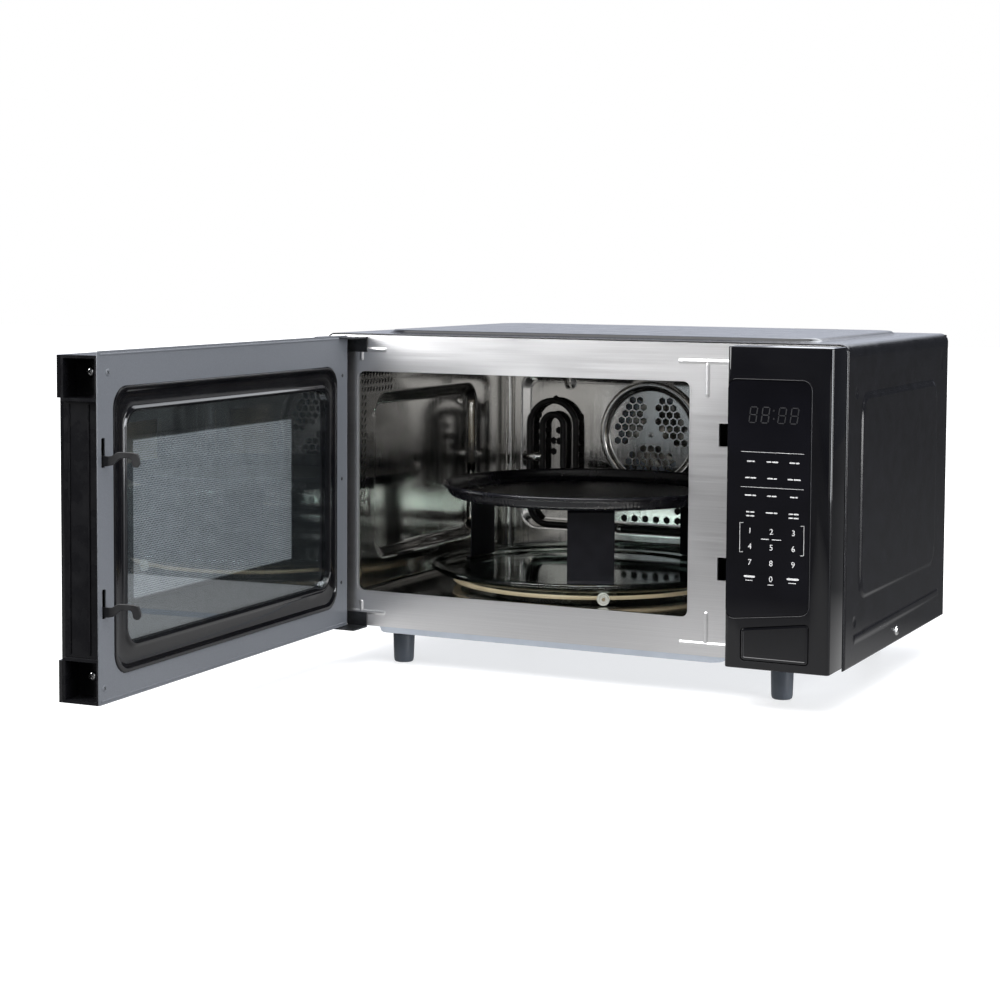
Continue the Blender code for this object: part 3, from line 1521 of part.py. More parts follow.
def make_convection_fan():
    """Radial impeller: a disc with bent blades and the shaft that carries it."""
    start = CAVITY_DEPTH + 0.0040
    disc_y = start + 0.0120
    fan = cylinder(
        "convection_fan",
        FAN_RADIUS * 0.80,
        (CAVITY_X, disc_y, GRILLE_Z),
        (CAVITY_X, disc_y + 0.0010, GRILLE_Z),
        "fan_steel",
        CONVECTION,
        steps=24,
    )
    shaft = cylinder(
        "fan_shaft",
        CONVECTION_SHAFT,
        (CAVITY_X, start, GRILLE_Z),
        (CAVITY_X, CAVITY_DEPTH + HOUSING_DEPTH + 0.0060, GRILLE_Z),
        parent=CONVECTION,
        steps=12,
    )
    join(fan, shaft)
    add_blades(
        fan,
        FAN_BLADES,
        FAN_RADIUS * 0.45,
        FAN_RADIUS,
        (start, disc_y + 0.0005),
        0.0012,
        25,
        GRILLE_Z,
        CAVITY_X,
        CONVECTION,
    )


def add_blades(fan, count, inner, radius, span, thick, lean, centre_z, centre_x, parent):
    """Flat blades about the Y axis, each turned by the lean angle from the radius."""
    length = radius - inner
    for index in range(count):
        angle = 2 * math.pi * index / count
        middle = (radius + inner) / 2
        name = f"{fan.name}_blade_{index}"
        blade = new_object(
            name,
            block_mesh(name, (length, span[1] - span[0], thick)),
            (
                centre_x + middle * math.cos(angle),
                (span[0] + span[1]) / 2,
                centre_z + middle * math.sin(angle),
            ),
            parent=parent,
        )
        blade.rotation_euler = (0, -angle + math.radians(lean), 0)
        join(fan, blade)


def make_convection_motor():
    start = CAVITY_DEPTH + LINER_SHEET + HOUSING_DEPTH + 2 * GAP
    motor = cylinder(
        "convection_motor",
        CONVECTION_MOTOR_RADIUS,
        (CAVITY_X, start, GRILLE_Z),
        (CAVITY_X, start + CONVECTION_MOTOR_LENGTH, GRILLE_Z),
        "hinge_zinc",
        steps=24,
    )
    bore = cylinder(
        "convection_motor_bore",
        CONVECTION_SHAFT + GAP,
        (CAVITY_X, start - 0.0050, GRILLE_Z),
        (CAVITY_X, start + 0.0080, GRILLE_Z),
        steps=12,
    )
    cut(motor, bore)


def heater_ends():
    """Where the element's two ends pass through the rear wall, as (x, z)."""
    return ((HEATER_RUN_END, HEATER_RUN_Z), (HEATER_ARCH_X - HEATER_INNER, HEATER_UTURN_Z))


def arc(centre, radius, start, end, steps):
    """Points of an arc in the XZ plane, angles in degrees from +X towards +Z."""
    for index in range(steps + 1):
        angle = math.radians(start + (end - start) * index / steps)
        yield centre[0] + radius * math.cos(angle), centre[1] + radius * math.sin(angle)


def make_heater():
    """Tubular element: a low run, then a double hairpin arch, all in front of the rear wall."""
    y = CAVITY_DEPTH - HEATER_SET_OFF
    behind = CAVITY_DEPTH + 0.0120
    outer_left = HEATER_ARCH_X - HEATER_OUTER
    turn_radius = (HEATER_OUTER - HEATER_INNER) / 2
    turn_x = HEATER_ARCH_X + (HEATER_OUTER + HEATER_INNER) / 2
    bend = HEATER_RUN_BEND
    flat = []
    flat += arc((outer_left + bend, HEATER_RUN_Z + bend), bend, 270, 180, 6)
    flat += arc((HEATER_ARCH_X, HEATER_ARCH_Z), HEATER_OUTER, 180, 0, 12)
    flat += arc((turn_x, HEATER_UTURN_Z), turn_radius, 0, -180, 6)
    flat += arc((HEATER_ARCH_X, HEATER_ARCH_Z), HEATER_INNER, 0, 180, 8)
    (start_x, start_z), (end_x, end_z) = heater_ends()
    points = [(start_x, behind, start_z), (start_x, y + 0.0030, start_z), (start_x - 0.0030, y, start_z)]
    points += [(x, y, z) for x, z in flat]
    points += [(end_x, y, end_z + 0.0030), (end_x, y + 0.0030, end_z), (end_x, behind, end_z)]
    wire("heater_element", points, HEATER_TUBE, "heater_black", sides=2)


# ---- microwave source and cooling ----
def make_waveguide():
    half = WAVEGUIDE_WIDTH / 2
    start = LINER_RIGHT + GAP
    low = Vector((start, WAVEGUIDE_Y - half, WAVEGUIDE_BOTTOM))
    high = Vector((start + WAVEGUIDE_DEPTH, WAVEGUIDE_Y + half, WAVEGUIDE_TOP))
    skin = Vector((0, WAVEGUIDE_SHEET, WAVEGUIDE_SHEET))
    guide = block("waveguide", low, high, "galvanised")
    hollow = block(
        "waveguide_hollow",
        low + skin - Vector((WAVEGUIDE_SHEET, 0, 0)),
        high - skin - Vector((WAVEGUIDE_SHEET, 0, 0)),
    )
    antenna_hole = cylinder(
        "waveguide_hole",
        ANTENNA_RADIUS + 2 * GAP,
        (high.x - 2 * WAVEGUIDE_SHEET, WAVEGUIDE_Y, MAGNETRON_Z),
        (high.x + 2 * WAVEGUIDE_SHEET, WAVEGUIDE_Y, MAGNETRON_Z),
    )
    cut(guide, hollow, antenna_hole)
    mica_x = OPENING_RIGHT + LINER_SET_OUT - GAP
    block(
        "waveguide_cover",
        (mica_x - MICA_SHEET, WAVEGUIDE_Y - half - MICA_MARGIN, WAVEGUIDE_BOTTOM - MICA_MARGIN),
        (mica_x, WAVEGUIDE_Y + half + MICA_MARGIN, WAVEGUIDE_MOUTH_TOP + MICA_MARGIN),
        "mica",
    )


def make_magnetron():
    face = LINER_RIGHT + WAVEGUIDE_DEPTH + 2 * GAP
    size = Vector(MAGNETRON_SIZE)
    low = Vector((face, WAVEGUIDE_Y - size.y / 2, MAGNETRON_Z - size.z / 2))
    magnetron = block("magnetron", low, low + size, "hinge_zinc")
    antenna = cylinder(
        "magnetron_antenna",
        ANTENNA_RADIUS,
        (face - WAVEGUIDE_DEPTH * 0.7, WAVEGUIDE_Y, MAGNETRON_Z),
        (face + 0.0020, WAVEGUIDE_Y, MAGNETRON_Z),
    )
    join(magnetron, antenna)
    for index in range(MAGNETRON_SLOTS):
        z = low.z + (index + 1) * size.z / (MAGNETRON_SLOTS + 1)
        slot = block(
            f"magnetron_slot_{index}",
            (face + 0.0080, low.y - 0.0020, z - 0.0030),
            (face + size.x - 0.0080, low.y + 0.0200, z + 0.0030),
        )
        cut(magnetron, slot)


def make_power_parts():
    size = Vector(TRANSFORMER_SIZE)
    floor = BASE_PLATE_Z + BASE_SHEET + GAP
    low = Vector((TRANSFORMER_X - size.x / 2, TRANSFORMER_Y - size.y / 2, floor))
    core = block("power_transformer", low, low + size, "core_steel")
    inset = Vector((-0.0080, size.y * 0.22, size.z * 0.18))
    winding = block(
        "transformer_winding", low + inset, low + size - inset, radius=0.006, axis="X", segments=2
    )
    join(core, winding)
    size = Vector(CAPACITOR_SIZE)
    low = Vector((LINER_RIGHT + 0.0250, CASE_DEPTH - 0.0400 - size.y, floor))
    block("hv_capacitor", low, low + size, "hinge_zinc", radius=0.012, axis="Z")
    lamp_x = LINER_RIGHT + GAP
    lamp = block(
        "cavity_lamp",
        (lamp_x, LAMP_Y - 0.0130, LAMP_Z - 0.0110),
        (lamp_x + 0.0120, LAMP_Y + 0.0130, LAMP_Z + 0.0110),
        "switch_plastic",
    )
    bulb = cylinder(
        "lamp_bulb",
        0.0090,
        (lamp_x + 0.0110, LAMP_Y, LAMP_Z),
        (lamp_x + 0.0380, LAMP_Y, LAMP_Z),
        top=0.0060,
    )
    join(lamp, bulb)


def make_cooling_fan():
    back = REAR_PLATE_Y - GAP
    front = back - SHROUD_DEPTH
    half = SHROUD_HALF
    shroud = block(
        "cooling_shroud",
        (COOLING_X - half, front, COOLING_Z - half),
        (COOLING_X + half, back, COOLING_Z + half),
        "switch_plastic",
    )
    duct = cylinder(
        "shroud_duct",
        COOLING_RADIUS + 0.0030,
        (COOLING_X, front - 0.0100, COOLING_Z),
        (COOLING_X, back + 0.0100, COOLING_Z),
        steps=32,
    )
    spoke = block(
        "shroud_spoke",
        (COOLING_X - half + 0.0010, front, COOLING_Z - 0.0060),
        (COOLING_X + half - 0.0010, front + 0.0030, COOLING_Z + 0.0060),
    )
    motor = cylinder(
        "shroud_motor",
        0.0170,
        (COOLING_X, front - 0.0120, COOLING_Z),
        (COOLING_X, front + 0.0050, COOLING_Z),
    )
    cut(shroud, duct)
    join(shroud, spoke, motor)
    start = front + 0.0062
    fan = cylinder(
        "cooling_fan",
        COOLING_RADIUS * 0.34,
        (COOLING_X, start, COOLING_Z),
        (COOLING_X, back - 0.0030, COOLING_Z),
        "coupler_plastic",
        COOLING,
    )
    add_blades(
        fan,
        COOLING_BLADES,
        COOLING_RADIUS * 0.28,
        COOLING_RADIUS,
        (start + 0.0010, back - 0.0050),
        0.0016,
        0,
        COOLING_Z,
        COOLING_X,
        COOLING,
    )


# ---- put together ----
clear_scene()
PARTS = new_collection("microwave_oven")
CUTTERS = new_collection("cutters", hidden=True)
ANCHORS = {}
MATERIALS = {
    made.name: made
    for made in (
        material("case_paint", (0.012, 0.012, 0.014), 0.25),
        material("frame_steel", (0.62, 0.62, 0.63), 0.32, 1.0),
        material("cavity_steel", (0.50, 0.49, 0.47), 0.18, 1.0),
        material("galvanised", (0.62, 0.65, 0.68), 0.42, 0.9),
        material("foot_plastic", (0.055, 0.062, 0.072), 0.55),
        material("panel_gloss", (0.006, 0.006, 0.007), 0.08),
        material("fascia_glass", (0.004, 0.004, 0.006), 0.05),
        material("door_glass", (0.006, 0.006, 0.007), 0.05),
        material("door_plastic", (0.008, 0.008, 0.009), 0.30),
        material("inner_paint", (0.035, 0.036, 0.040), 0.42),
        material("ring_gloss", (0.007, 0.007, 0.008), 0.10),
        material("clear_glass", (0.55, 0.60, 0.60), 0.03, 0.0, 1.0),
        material("screen_steel", (0.20, 0.20, 0.21), 0.35, 0.8),
        material("latch_plastic", (0.010, 0.010, 0.011), 0.45),
        material("switch_plastic", (0.10, 0.10, 0.11), 0.50),
        material("circuit_board", (0.05, 0.16, 0.08), 0.50),
        material("display_glass", (0.02, 0.02, 0.03), 0.10),
        material("screw_steel", (0.55, 0.55, 0.55), 0.30, 1.0),
        material("hinge_zinc", (0.60, 0.60, 0.58), 0.35, 1.0),
        material("coupler_plastic", (0.55, 0.52, 0.45), 0.45),
        material("tray_glass", (0.62, 0.70, 0.68), 0.04, 0.0, 1.0),
        material("ring_plastic", (0.72, 0.60, 0.44), 0.50),
        material("roller_plastic", (0.78, 0.78, 0.74), 0.30),
        material("pan_coating", (0.014, 0.014, 0.018), 0.32),
        material("heater_black", (0.015, 0.015, 0.016), 0.50),
        material("fan_steel", (0.58, 0.58, 0.58), 0.30, 1.0),
        material("mica", (0.60, 0.52, 0.40), 0.50),
        material("core_steel", (0.12, 0.12, 0.12), 0.50, 0.6),
    )
}
OVEN = new_pivot("oven", (0, 0, 0))
CENTRE_X, CENTRE_Y = open_box_centre()
OVEN.location = (-CENTRE_X, -CENTRE_Y, 0)
DOOR = new_pivot("door_pivot", (HINGE_X, HINGE_Y, 0), -math.radians(DOOR_REST_ANGLE), OVEN)
LATCH = new_pivot("latch_pivot", (HOOK_X, DOOR_INNER_Y, 0), 0.0, DOOR)
TURNTABLE = new_pivot("turntable_pivot", (CAVITY_X, TRAY_Y, 0), 0.0, OVEN)
TRAY = new_pivot("tray_pivot", (CAVITY_X, TRAY_Y, 0), 0.0, OVEN)
ROLLERS = new_pivot("roller_pivot", (CAVITY_X, TRAY_Y, 0), 0.0, OVEN)
CRISPER = new_pivot("crisper_pivot", (CAVITY_X, TRAY_Y, 0), 0.0, OVEN)
CONVECTION = new_pivot("convection_pivot", (CAVITY_X, 0, GRILLE_Z), 0.0, OVEN)
COOLING = new_pivot("cooling_pivot", (COOLING_X, 0, COOLING_Z), 0.0, OVEN)

make_outer_case()
make_case_screw()
make_front_frame()
make_cavity_liner()
make_base_pan()
make_feet()
make_rear_cover()
make_cord_inlet()
make_control_panel()
make_fascia()
make_door_button()
make_button_spring()
make_release_rocker()
make_interlock_bracket()
make_switches()
make_electronics()
make_door_outer_glass()
make_door_shell()
make_door_screws()
make_door_inner_panel()
make_choke_ring()
make_inner_glass()
make_door_screen()
make_end_cover()
make_door_latch()
make_latch_spring()
make_hinges()
make_turntable_motor()
make_coupler()
make_glass_tray()
make_roller_ring()
make_rollers()
make_crisper_pan()
make_pan_legs()
make_fan_grille()
make_convection_housing()
make_convection_fan()
make_convection_motor()
make_heater()
make_waveguide()
make_magnetron()
make_power_parts()
make_cooling_fan()
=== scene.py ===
import json
import math

import bmesh
import bpy
import numpy as np
from mathutils import Matrix, Vector


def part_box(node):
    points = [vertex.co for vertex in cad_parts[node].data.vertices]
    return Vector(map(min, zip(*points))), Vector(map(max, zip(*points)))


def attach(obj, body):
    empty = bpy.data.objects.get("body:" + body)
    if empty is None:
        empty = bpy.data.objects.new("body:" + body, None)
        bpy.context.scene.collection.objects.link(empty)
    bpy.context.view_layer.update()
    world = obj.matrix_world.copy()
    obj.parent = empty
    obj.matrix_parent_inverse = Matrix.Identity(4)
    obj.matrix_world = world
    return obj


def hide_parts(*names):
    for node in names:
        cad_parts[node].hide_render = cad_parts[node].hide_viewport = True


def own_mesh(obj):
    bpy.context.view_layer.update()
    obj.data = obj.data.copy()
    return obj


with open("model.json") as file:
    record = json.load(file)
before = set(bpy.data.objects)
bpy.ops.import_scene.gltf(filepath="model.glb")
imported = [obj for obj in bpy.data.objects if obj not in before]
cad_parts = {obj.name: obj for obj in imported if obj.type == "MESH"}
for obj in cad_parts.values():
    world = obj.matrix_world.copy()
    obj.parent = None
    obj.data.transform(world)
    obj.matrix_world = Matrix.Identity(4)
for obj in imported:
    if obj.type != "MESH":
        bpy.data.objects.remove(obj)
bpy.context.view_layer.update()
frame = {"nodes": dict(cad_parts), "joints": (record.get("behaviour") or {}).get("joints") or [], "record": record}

# Metres. Sizes are in oven coordinates, X from the middle of the case, Y from its front plane and
# Z from the floor. Door pieces are given as they lie with the door shut.

# ---- places taken from the frame ----
CASE_LOW, CASE_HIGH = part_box("outer_case")
ORIGIN = Vector(((CASE_LOW.x + CASE_HIGH.x) / 2, CASE_LOW.y, 0))


def oven_box(node):
    low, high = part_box(node)
    return low - ORIGIN, high - ORIGIN


DOOR_HINGE = next(joint for joint in frame["joints"] if joint["name"] == "door_hinge")
HINGE_AXIS = Vector((DOOR_HINGE["pos_m"][0], DOOR_HINGE["pos_m"][1], 0))
DOOR_TURN = -math.radians(DOOR_HINGE["range_deg"][1])
IN_OVEN = Matrix.Translation(ORIGIN)
IN_DOOR = (
    Matrix.Translation(HINGE_AXIS)
    @ Matrix.Rotation(DOOR_TURN, 4, "Z")
    @ Matrix.Translation(-HINGE_AXIS)
    @ IN_OVEN
)
SIDE_RISE = 0.0018
CASE_HALF = (CASE_HIGH.x - CASE_LOW.x) / 2 - SIDE_RISE
CASE_DEPTH = CASE_HIGH.y - CASE_LOW.y
CASE_BOTTOM = CASE_LOW.z
PLATEAU_TOP = CASE_HIGH.z
PLATEAU_RISE = 0.003
CASE_TOP = PLATEAU_TOP - PLATEAU_RISE
PANEL_LOW, PANEL_HIGH = oven_box("control_panel")
GRILLE_LOW, GRILLE_HIGH = oven_box("fan_grille")
TRAY_LOW, TRAY_HIGH = oven_box("glass_tray")
REAR_LOW, REAR_HIGH = oven_box("rear_cover")

# ---- sizes ----
SHEET = 0.001
CASE_CORNER = 0.008
OPENING_LOW = (-0.2245, 0.0707)
OPENING_HIGH = (0.1151, 0.2829)
OPENING_CORNER = 0.006
CAVITY_LEFT = -0.2255
CAVITY_RIGHT = 0.1161
CAVITY_FLOOR = 0.0667
CAVITY_TOP = 0.2839
CAVITY_BACK = 0.331
CAVITY_FRONT = 0.0015
CAVITY_X = (TRAY_LOW.x + TRAY_HIGH.x) / 2
TRAY_Y = (TRAY_LOW.y + TRAY_HIGH.y) / 2
FAN_Z = (GRILLE_LOW.z + GRILLE_HIGH.z) / 2
DOOR_INNER_Y = -0.0025
DOOR_LEFT = -0.255
DOOR_RIGHT = 0.1637


# ---- outlines, sheets and turned forms ----
class Outline:
    """A convex shape of (u, v) points, anticlockwise, whose corners are rounded."""

    def __init__(self, points, corner, steps=8):
        self.corner = corner
        self.steps = steps
        self.core = self.inset(points, corner)

    @staticmethod
    def inset(points, amount):
        """The polygon with each side moved inwards."""
        moved = []
        for before, here, after in zip(points[-1:] + points[:-1], points, points[1:] + points[:1]):
            before, here, after = Vector(before), Vector(here), Vector(after)
            first = (here - before).normalized()
            second = (after - here).normalized()
            normal = Vector((-first.y, first.x))
            turn = first.cross(second)
            slide = amount * (1 - first.dot(second)) / turn
            moved.append(here + normal * amount - first * slide)
        return moved

    def ring(self, grow=0.0):
        """Points round the shape, each corner an arc."""
        radius = self.corner + grow
        points = []
        count = len(self.core)
        for index, centre in enumerate(self.core):
            before = centre - self.core[index - 1]
            after = self.core[(index + 1) % count] - centre
            start = math.atan2(before.y, before.x) - math.pi / 2
            sweep = before.angle(after)
            for step in range(self.steps + 1):
                angle = start + sweep * step / self.steps
                points.append((centre.x + radius * math.cos(angle), centre.y + radius * math.sin(angle)))
        return points

    def distance(self, u, v):
        """Signed distance from the outline, negative inside."""
        nearest = np.full(np.shape(u), 1e9)
        inside = np.full(np.shape(u), -1e9)
        for start, end in zip(self.core, self.core[1:] + self.core[:1]):
            along = end - start
            share = ((u - start.x) * along.x + (v - start.y) * along.y) / along.length_squared
            share = np.clip(share, 0, 1)
            gap = np.hypot(u - start.x - share * along.x, v - start.y - share * along.y)
            nearest = np.minimum(nearest, gap)
            side = ((u - start.x) * along.y - (v - start.y) * along.x) / along.length
            inside = np.maximum(inside, side)
        return np.where(inside > 0, nearest, -nearest) - self.corner


def rectangle(low, high, corner, steps=8):
    return Outline(
        [(low[0], low[1]), (high[0], low[1]), (high[0], high[1]), (low[0], high[1])], corner, steps
    )


def eased(value):
    value = np.clip(value, 0, 1)
    return value * value * (3 - 2 * value)


def pressed(outline, u, v, bevel):
    """1 on the flat of a pressed panel, 0 outside it, and a smooth slope between."""
    return eased(-outline.distance(u, v) / bevel)


def bead(distance, width):
    """Height share of a half-round bead at a distance from its middle line."""
    return np.sqrt(np.clip(1 - (distance / width) ** 2, 0, 1))


def segment_distance(u, v, start, end):
    along = (end[0] - start[0], end[1] - start[1])
    share = ((u - start[0]) * along[0] + (v - start[1]) * along[1]) / (along[0] ** 2 + along[1] ** 2)
    share = np.clip(share, 0, 1)
    return np.hypot(u - start[0] - share * along[0], v - start[1] - share * along[1])


def spaced(low, high, knots, fine=0.001, reach=0.010, coarse=0.008):
    """Places from low to high, close together near each knot and far apart elsewhere."""
    places = [low, high]
    places += list(np.arange(low, high, coarse))
    for knot in knots:
        places += list(np.arange(max(low, knot - reach), min(high, knot + reach), fine))
    places = sorted(places)
    kept = [places[0]]
    for place in places[1:]:
        if place - kept[-1] > fine * 0.6:
            kept.append(place)
    kept[-1] = high
    return np.array(kept)


class Shape:
    """Vertices and faces gathered into one mesh."""

    def __init__(self):
        self.points = []
        self.faces = []

    def add(self, points, faces):
        base = len(self.points)
        self.points.extend(tuple(map(float, point)) for point in points)
        self.faces.extend(tuple(base + index for index in face) for face in faces)
        return self

    def grid(self, points, wrap=False):
        """points is an array of rows, columns and (x, y, z). wrap joins the last column to the first."""
        rows, columns = points.shape[:2]
        faces = []
        for row in range(rows - 1):
            for column in range(columns if wrap else columns - 1):
                after = (column + 1) % columns
                faces.append(
                    (
                        row * columns + column,
                        row * columns + after,
                        (row + 1) * columns + after,
                        (row + 1) * columns + column,
                    )
                )
        return self.add(points.reshape(-1, 3), faces)

    def loft(self, rings, closed=True, capped=False):
        """Faces between rings that have the same number of points."""
        stacked = np.array(rings, float)
        base = len(self.points)
        self.grid(stacked, wrap=closed)
        if capped:
            count = stacked.shape[1]
            last = base + (stacked.shape[0] - 1) * count
            self.faces.append(tuple(base + index for index in reversed(range(count))))
            self.faces.append(tuple(last + index for index in range(count)))
        return self

    def turned(self, profile, centre, axis, steps=64, flute=None):
        """A profile of (radius, height) turned about an axis. flute scales the radius by angle."""
        rings = []
        axis = Vector(axis).normalized()
        side = axis.orthogonal().normalized()
        other = axis.cross(side)
        for radius, height in profile:
            ring = []
            for step in range(steps):
                angle = 2 * math.pi * step / steps
                wide = max(radius, 1e-5) + (flute(angle, radius, height) if flute else 0)
                point = Vector(centre) + axis * height
                point += side * (wide * math.cos(angle)) + other * (wide * math.sin(angle))
                ring.append(tuple(point))
            rings.append(ring)
        return self.loft(rings)

    def block(self, low, high):
        low, high = Vector(low), Vector(high)
        corners = [
            (x, y, z)
            for z in (low.z, high.z) for x, y in (
                (low.x, low.y), (high.x, low.y), (high.x, high.y), (low.x, high.y)
            )
        ]
        faces = [(3, 2, 1, 0), (4, 5, 6, 7), (0, 1, 5, 4), (1, 2, 6, 5), (2, 3, 7, 6), (3, 0, 4, 7)]
        return self.add(corners, faces)

    def prism(self, ring, low, high, axis="Y"):
        """A ring of (u, v) points, thick from low to high along an axis."""
        return self.loft([lift(ring, low, axis), lift(ring, high, axis)], capped=True)

    def mesh(self, name, angle=35, weld=0.0):
        made = bpy.data.meshes.new(name)
        made.from_pydata(self.points, [], self.faces)
        tidy = bmesh.new()
        tidy.from_mesh(made)
        if weld:
            bmesh.ops.remove_doubles(tidy, verts=tidy.verts, dist=weld)
        bmesh.ops.recalc_face_normals(tidy, faces=tidy.faces)
        tidy.to_mesh(made)
        tidy.free()
        made.shade_smooth()
        made.set_sharp_from_angle(angle=math.radians(angle))
        return made


def lift(ring, level, axis="Y"):
    """(u, v) points as (x, y, z) points at one level along an axis."""
    if axis == "Y":
        return [(u, level, v) for u, v in ring]
    if axis == "X":
        return [(level, u, v) for u, v in ring]
    return [(u, v, level) for u, v in ring]


def rounded_profile(points, rounds=2):
    """Cuts each corner of an open profile, which leaves a smooth line between its ends."""
    for _ in range(rounds):
        cut = [points[0]]
        for first, second in zip(points, points[1:]):
            cut.append((0.75 * first[0] + 0.25 * second[0], 0.75 * first[1] + 0.25 * second[1]))
            cut.append((0.25 * first[0] + 0.75 * second[0], 0.25 * first[1] + 0.75 * second[1]))
        cut.append(points[-1])
        points = cut
    return points


def hexagon(u, v, across, turn=0.0):
    radius = across / math.sqrt(3)
    return [
        (
            u + radius * math.cos(math.radians(turn + 60 * side)),
            v + radius * math.sin(math.radians(turn + 60 * side)),
        )
        for side in range(6)
    ]


def slot_ring(u, v, length, width, turn):
    """A slot with round ends."""
    points = []
    half = (length - width) / 2
    for end, start in ((1, -90), (-1, 90)):
        for step in range(5):
            angle = math.radians(start + 45 * step)
            local = (end * half + width / 2 * math.cos(angle), width / 2 * math.sin(angle))
            points.append(
                (
                    u + local[0] * math.cos(turn) - local[1] * math.sin(turn),
                    v + local[0] * math.sin(turn) + local[1] * math.cos(turn),
                )
            )
    return points


def flat_plate(name, rings, low, high, axis="Y"):
    """A plate filled between its outer ring and the rings of its holes, as a mesh."""
    curve = bpy.data.curves.new(name, "CURVE")
    curve.dimensions = "2D"
    curve.fill_mode = "BOTH"
    curve.extrude = (high - low) / 2
    for ring in rings:
        spline = curve.splines.new("POLY")
        spline.points.add(len(ring) - 1)
        for place, (u, v) in zip(spline.points, ring):
            place.co = (u, v, 0, 1)
        spline.use_cyclic_u = True
    helper = bpy.data.objects.new(name + "_helper", curve)
    bpy.context.scene.collection.objects.link(helper)
    graph = bpy.context.evaluated_depsgraph_get()
    made = bpy.data.meshes.new_from_object(helper.evaluated_get(graph))
    bpy.data.objects.remove(helper)
    bpy.data.curves.remove(curve)
    middle = (low + high) / 2
    if axis == "Y":
        turn = Matrix(((1, 0, 0, 0), (0, 0, 1, middle), (0, 1, 0, 0), (0, 0, 0, 1)))
    elif axis == "X":
        turn = Matrix(((0, 0, 1, middle), (1, 0, 0, 0), (0, 1, 0, 0), (0, 0, 0, 1)))
    else:
        turn = Matrix.Translation((0, 0, middle))
    made.transform(turn)
    tidy = bmesh.new()
    tidy.from_mesh(made)
    bmesh.ops.remove_doubles(tidy, verts=tidy.verts, dist=1e-6)
    bmesh.ops.recalc_face_normals(tidy, faces=tidy.faces)
    tidy.to_mesh(made)
    tidy.free()
    made.name = name
    made.shade_smooth()
    made.set_sharp_from_angle(angle=math.radians(30))
    return made


# ---- pieces ----
def piece(name, data, finish, body="case", stands_for=()):
    """Adds a piece in its place, on its body and with its finish."""
    made = bpy.data.objects.new(name, data)
    bpy.context.scene.collection.objects.link(made)
    made.matrix_world = IN_DOOR if body in ("door", "latch") else IN_OVEN
    data.materials.clear()
    data.materials.append(finish_named(finish))
    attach(made, body)
    if stands_for:
        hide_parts(*stands_for)
    return made


def soften(made, width, segments=2, angle=40):
    """Rounds the sharp edges of a piece."""
    bevel = made.modifiers.new("round", "BEVEL")
    bevel.width = width
    bevel.segments = segments
    bevel.limit_method = "ANGLE"
    bevel.angle_limit = math.radians(angle)
    bevel.harden_normals = False
    return made


def thicken(made, amount, offset=1.0):
    skin = made.modifiers.new("skin", "SOLIDIFY")
    skin.thickness = amount
    skin.offset = offset
    return made


def tube(name, points, radius, finish, body="case", stands_for=(), cyclic=False, smooth=False):
    """A round wire through points."""
    curve = bpy.data.curves.new(name, "CURVE")
    curve.dimensions = "3D"
    curve.bevel_depth = radius
    curve.bevel_resolution = 4
    curve.use_fill_caps = True
    spline = curve.splines.new("NURBS" if smooth else "POLY")
    spline.points.add(len(points) - 1)
    for place, point in zip(spline.points, points):
        place.co = (*point, 1)
    spline.use_cyclic_u = cyclic
    if smooth:
        spline.order_u = 4
        spline.use_endpoint_u = not cyclic
        spline.resolution_u = 4
    return piece(name, curve, finish, body, stands_for)


def subtract(made, cutter_shape, solver="MANIFOLD"):
    """Cuts a shape out of a piece and keeps the result as its mesh."""
    cutter = bpy.data.objects.new(made.name + "_cutter", cutter_shape.mesh(made.name + "_cutter"))
    bpy.context.scene.collection.objects.link(cutter)
    cutter.matrix_world = made.matrix_world
    cutter.hide_render = True
    change = made.modifiers.new("holes", "BOOLEAN")
    change.operation = "DIFFERENCE"
    change.solver = solver
    change.object = cutter
    bake(made)
    bpy.data.objects.remove(cutter)
    return made


def bake(made):
    """Replaces a piece's mesh by what its modifiers make of it."""
    bpy.context.view_layer.update()
    graph = bpy.context.evaluated_depsgraph_get()
    data = bpy.data.meshes.new_from_object(made.evaluated_get(graph))
    made.modifiers.clear()
    old = made.data
    made.data = data
    data.name = old.name
    bpy.data.meshes.remove(old)
    data.set_sharp_from_angle(angle=math.radians(35))
    return made


# ---- finishes ----
FINISHES = {}


def new_finish(name):
    made = bpy.data.materials.new("look_" + name)
    made.use_nodes = True
    FINISHES[name] = made
    tree = made.node_tree
    return tree, tree.nodes["Principled BSDF"]


def finish_named(name):
    return FINISHES[name]


def texture(tree, scale, detail=2.0, stretch=(1, 1, 1), kind="ShaderNodeTexNoise"):
    """Noise in the piece's own coordinates, in cycles per metre."""
    place = tree.nodes.new("ShaderNodeTexCoord")
    mapping = tree.nodes.new("ShaderNodeMapping")
    mapping.inputs["Scale"].default_value = stretch
    noise = tree.nodes.new(kind)
    noise.inputs["Scale"].default_value = scale
    if "Detail" in noise.inputs:
        noise.inputs["Detail"].default_value = detail
    tree.links.new(place.outputs["Object"], mapping.inputs["Vector"])
    tree.links.new(mapping.outputs["Vector"], noise.inputs["Vector"])
    return noise


def ranged(tree, source, low, high, start=0.3, end=0.7):
    """Maps a noise value onto a range."""
    node = tree.nodes.new("ShaderNodeMapRange")
    node.inputs["From Min"].default_value = start
    node.inputs["From Max"].default_value = end
    node.inputs["To Min"].default_value = low
    node.inputs["To Max"].default_value = high
    tree.links.new(source, node.inputs["Value"])
    return node.outputs["Result"]


def blended(tree, source, low, high, start=0.3, end=0.7):
    """Mixes two colours by a noise value."""
    ramp = tree.nodes.new("ShaderNodeValToRGB")
    ramp.color_ramp.elements[0].position = start
    ramp.color_ramp.elements[0].color = (*low, 1)
    ramp.color_ramp.elements[1].position = end
    ramp.color_ramp.elements[1].color = (*high, 1)
    tree.links.new(source, ramp.inputs["Fac"])
    return ramp.outputs["Color"]


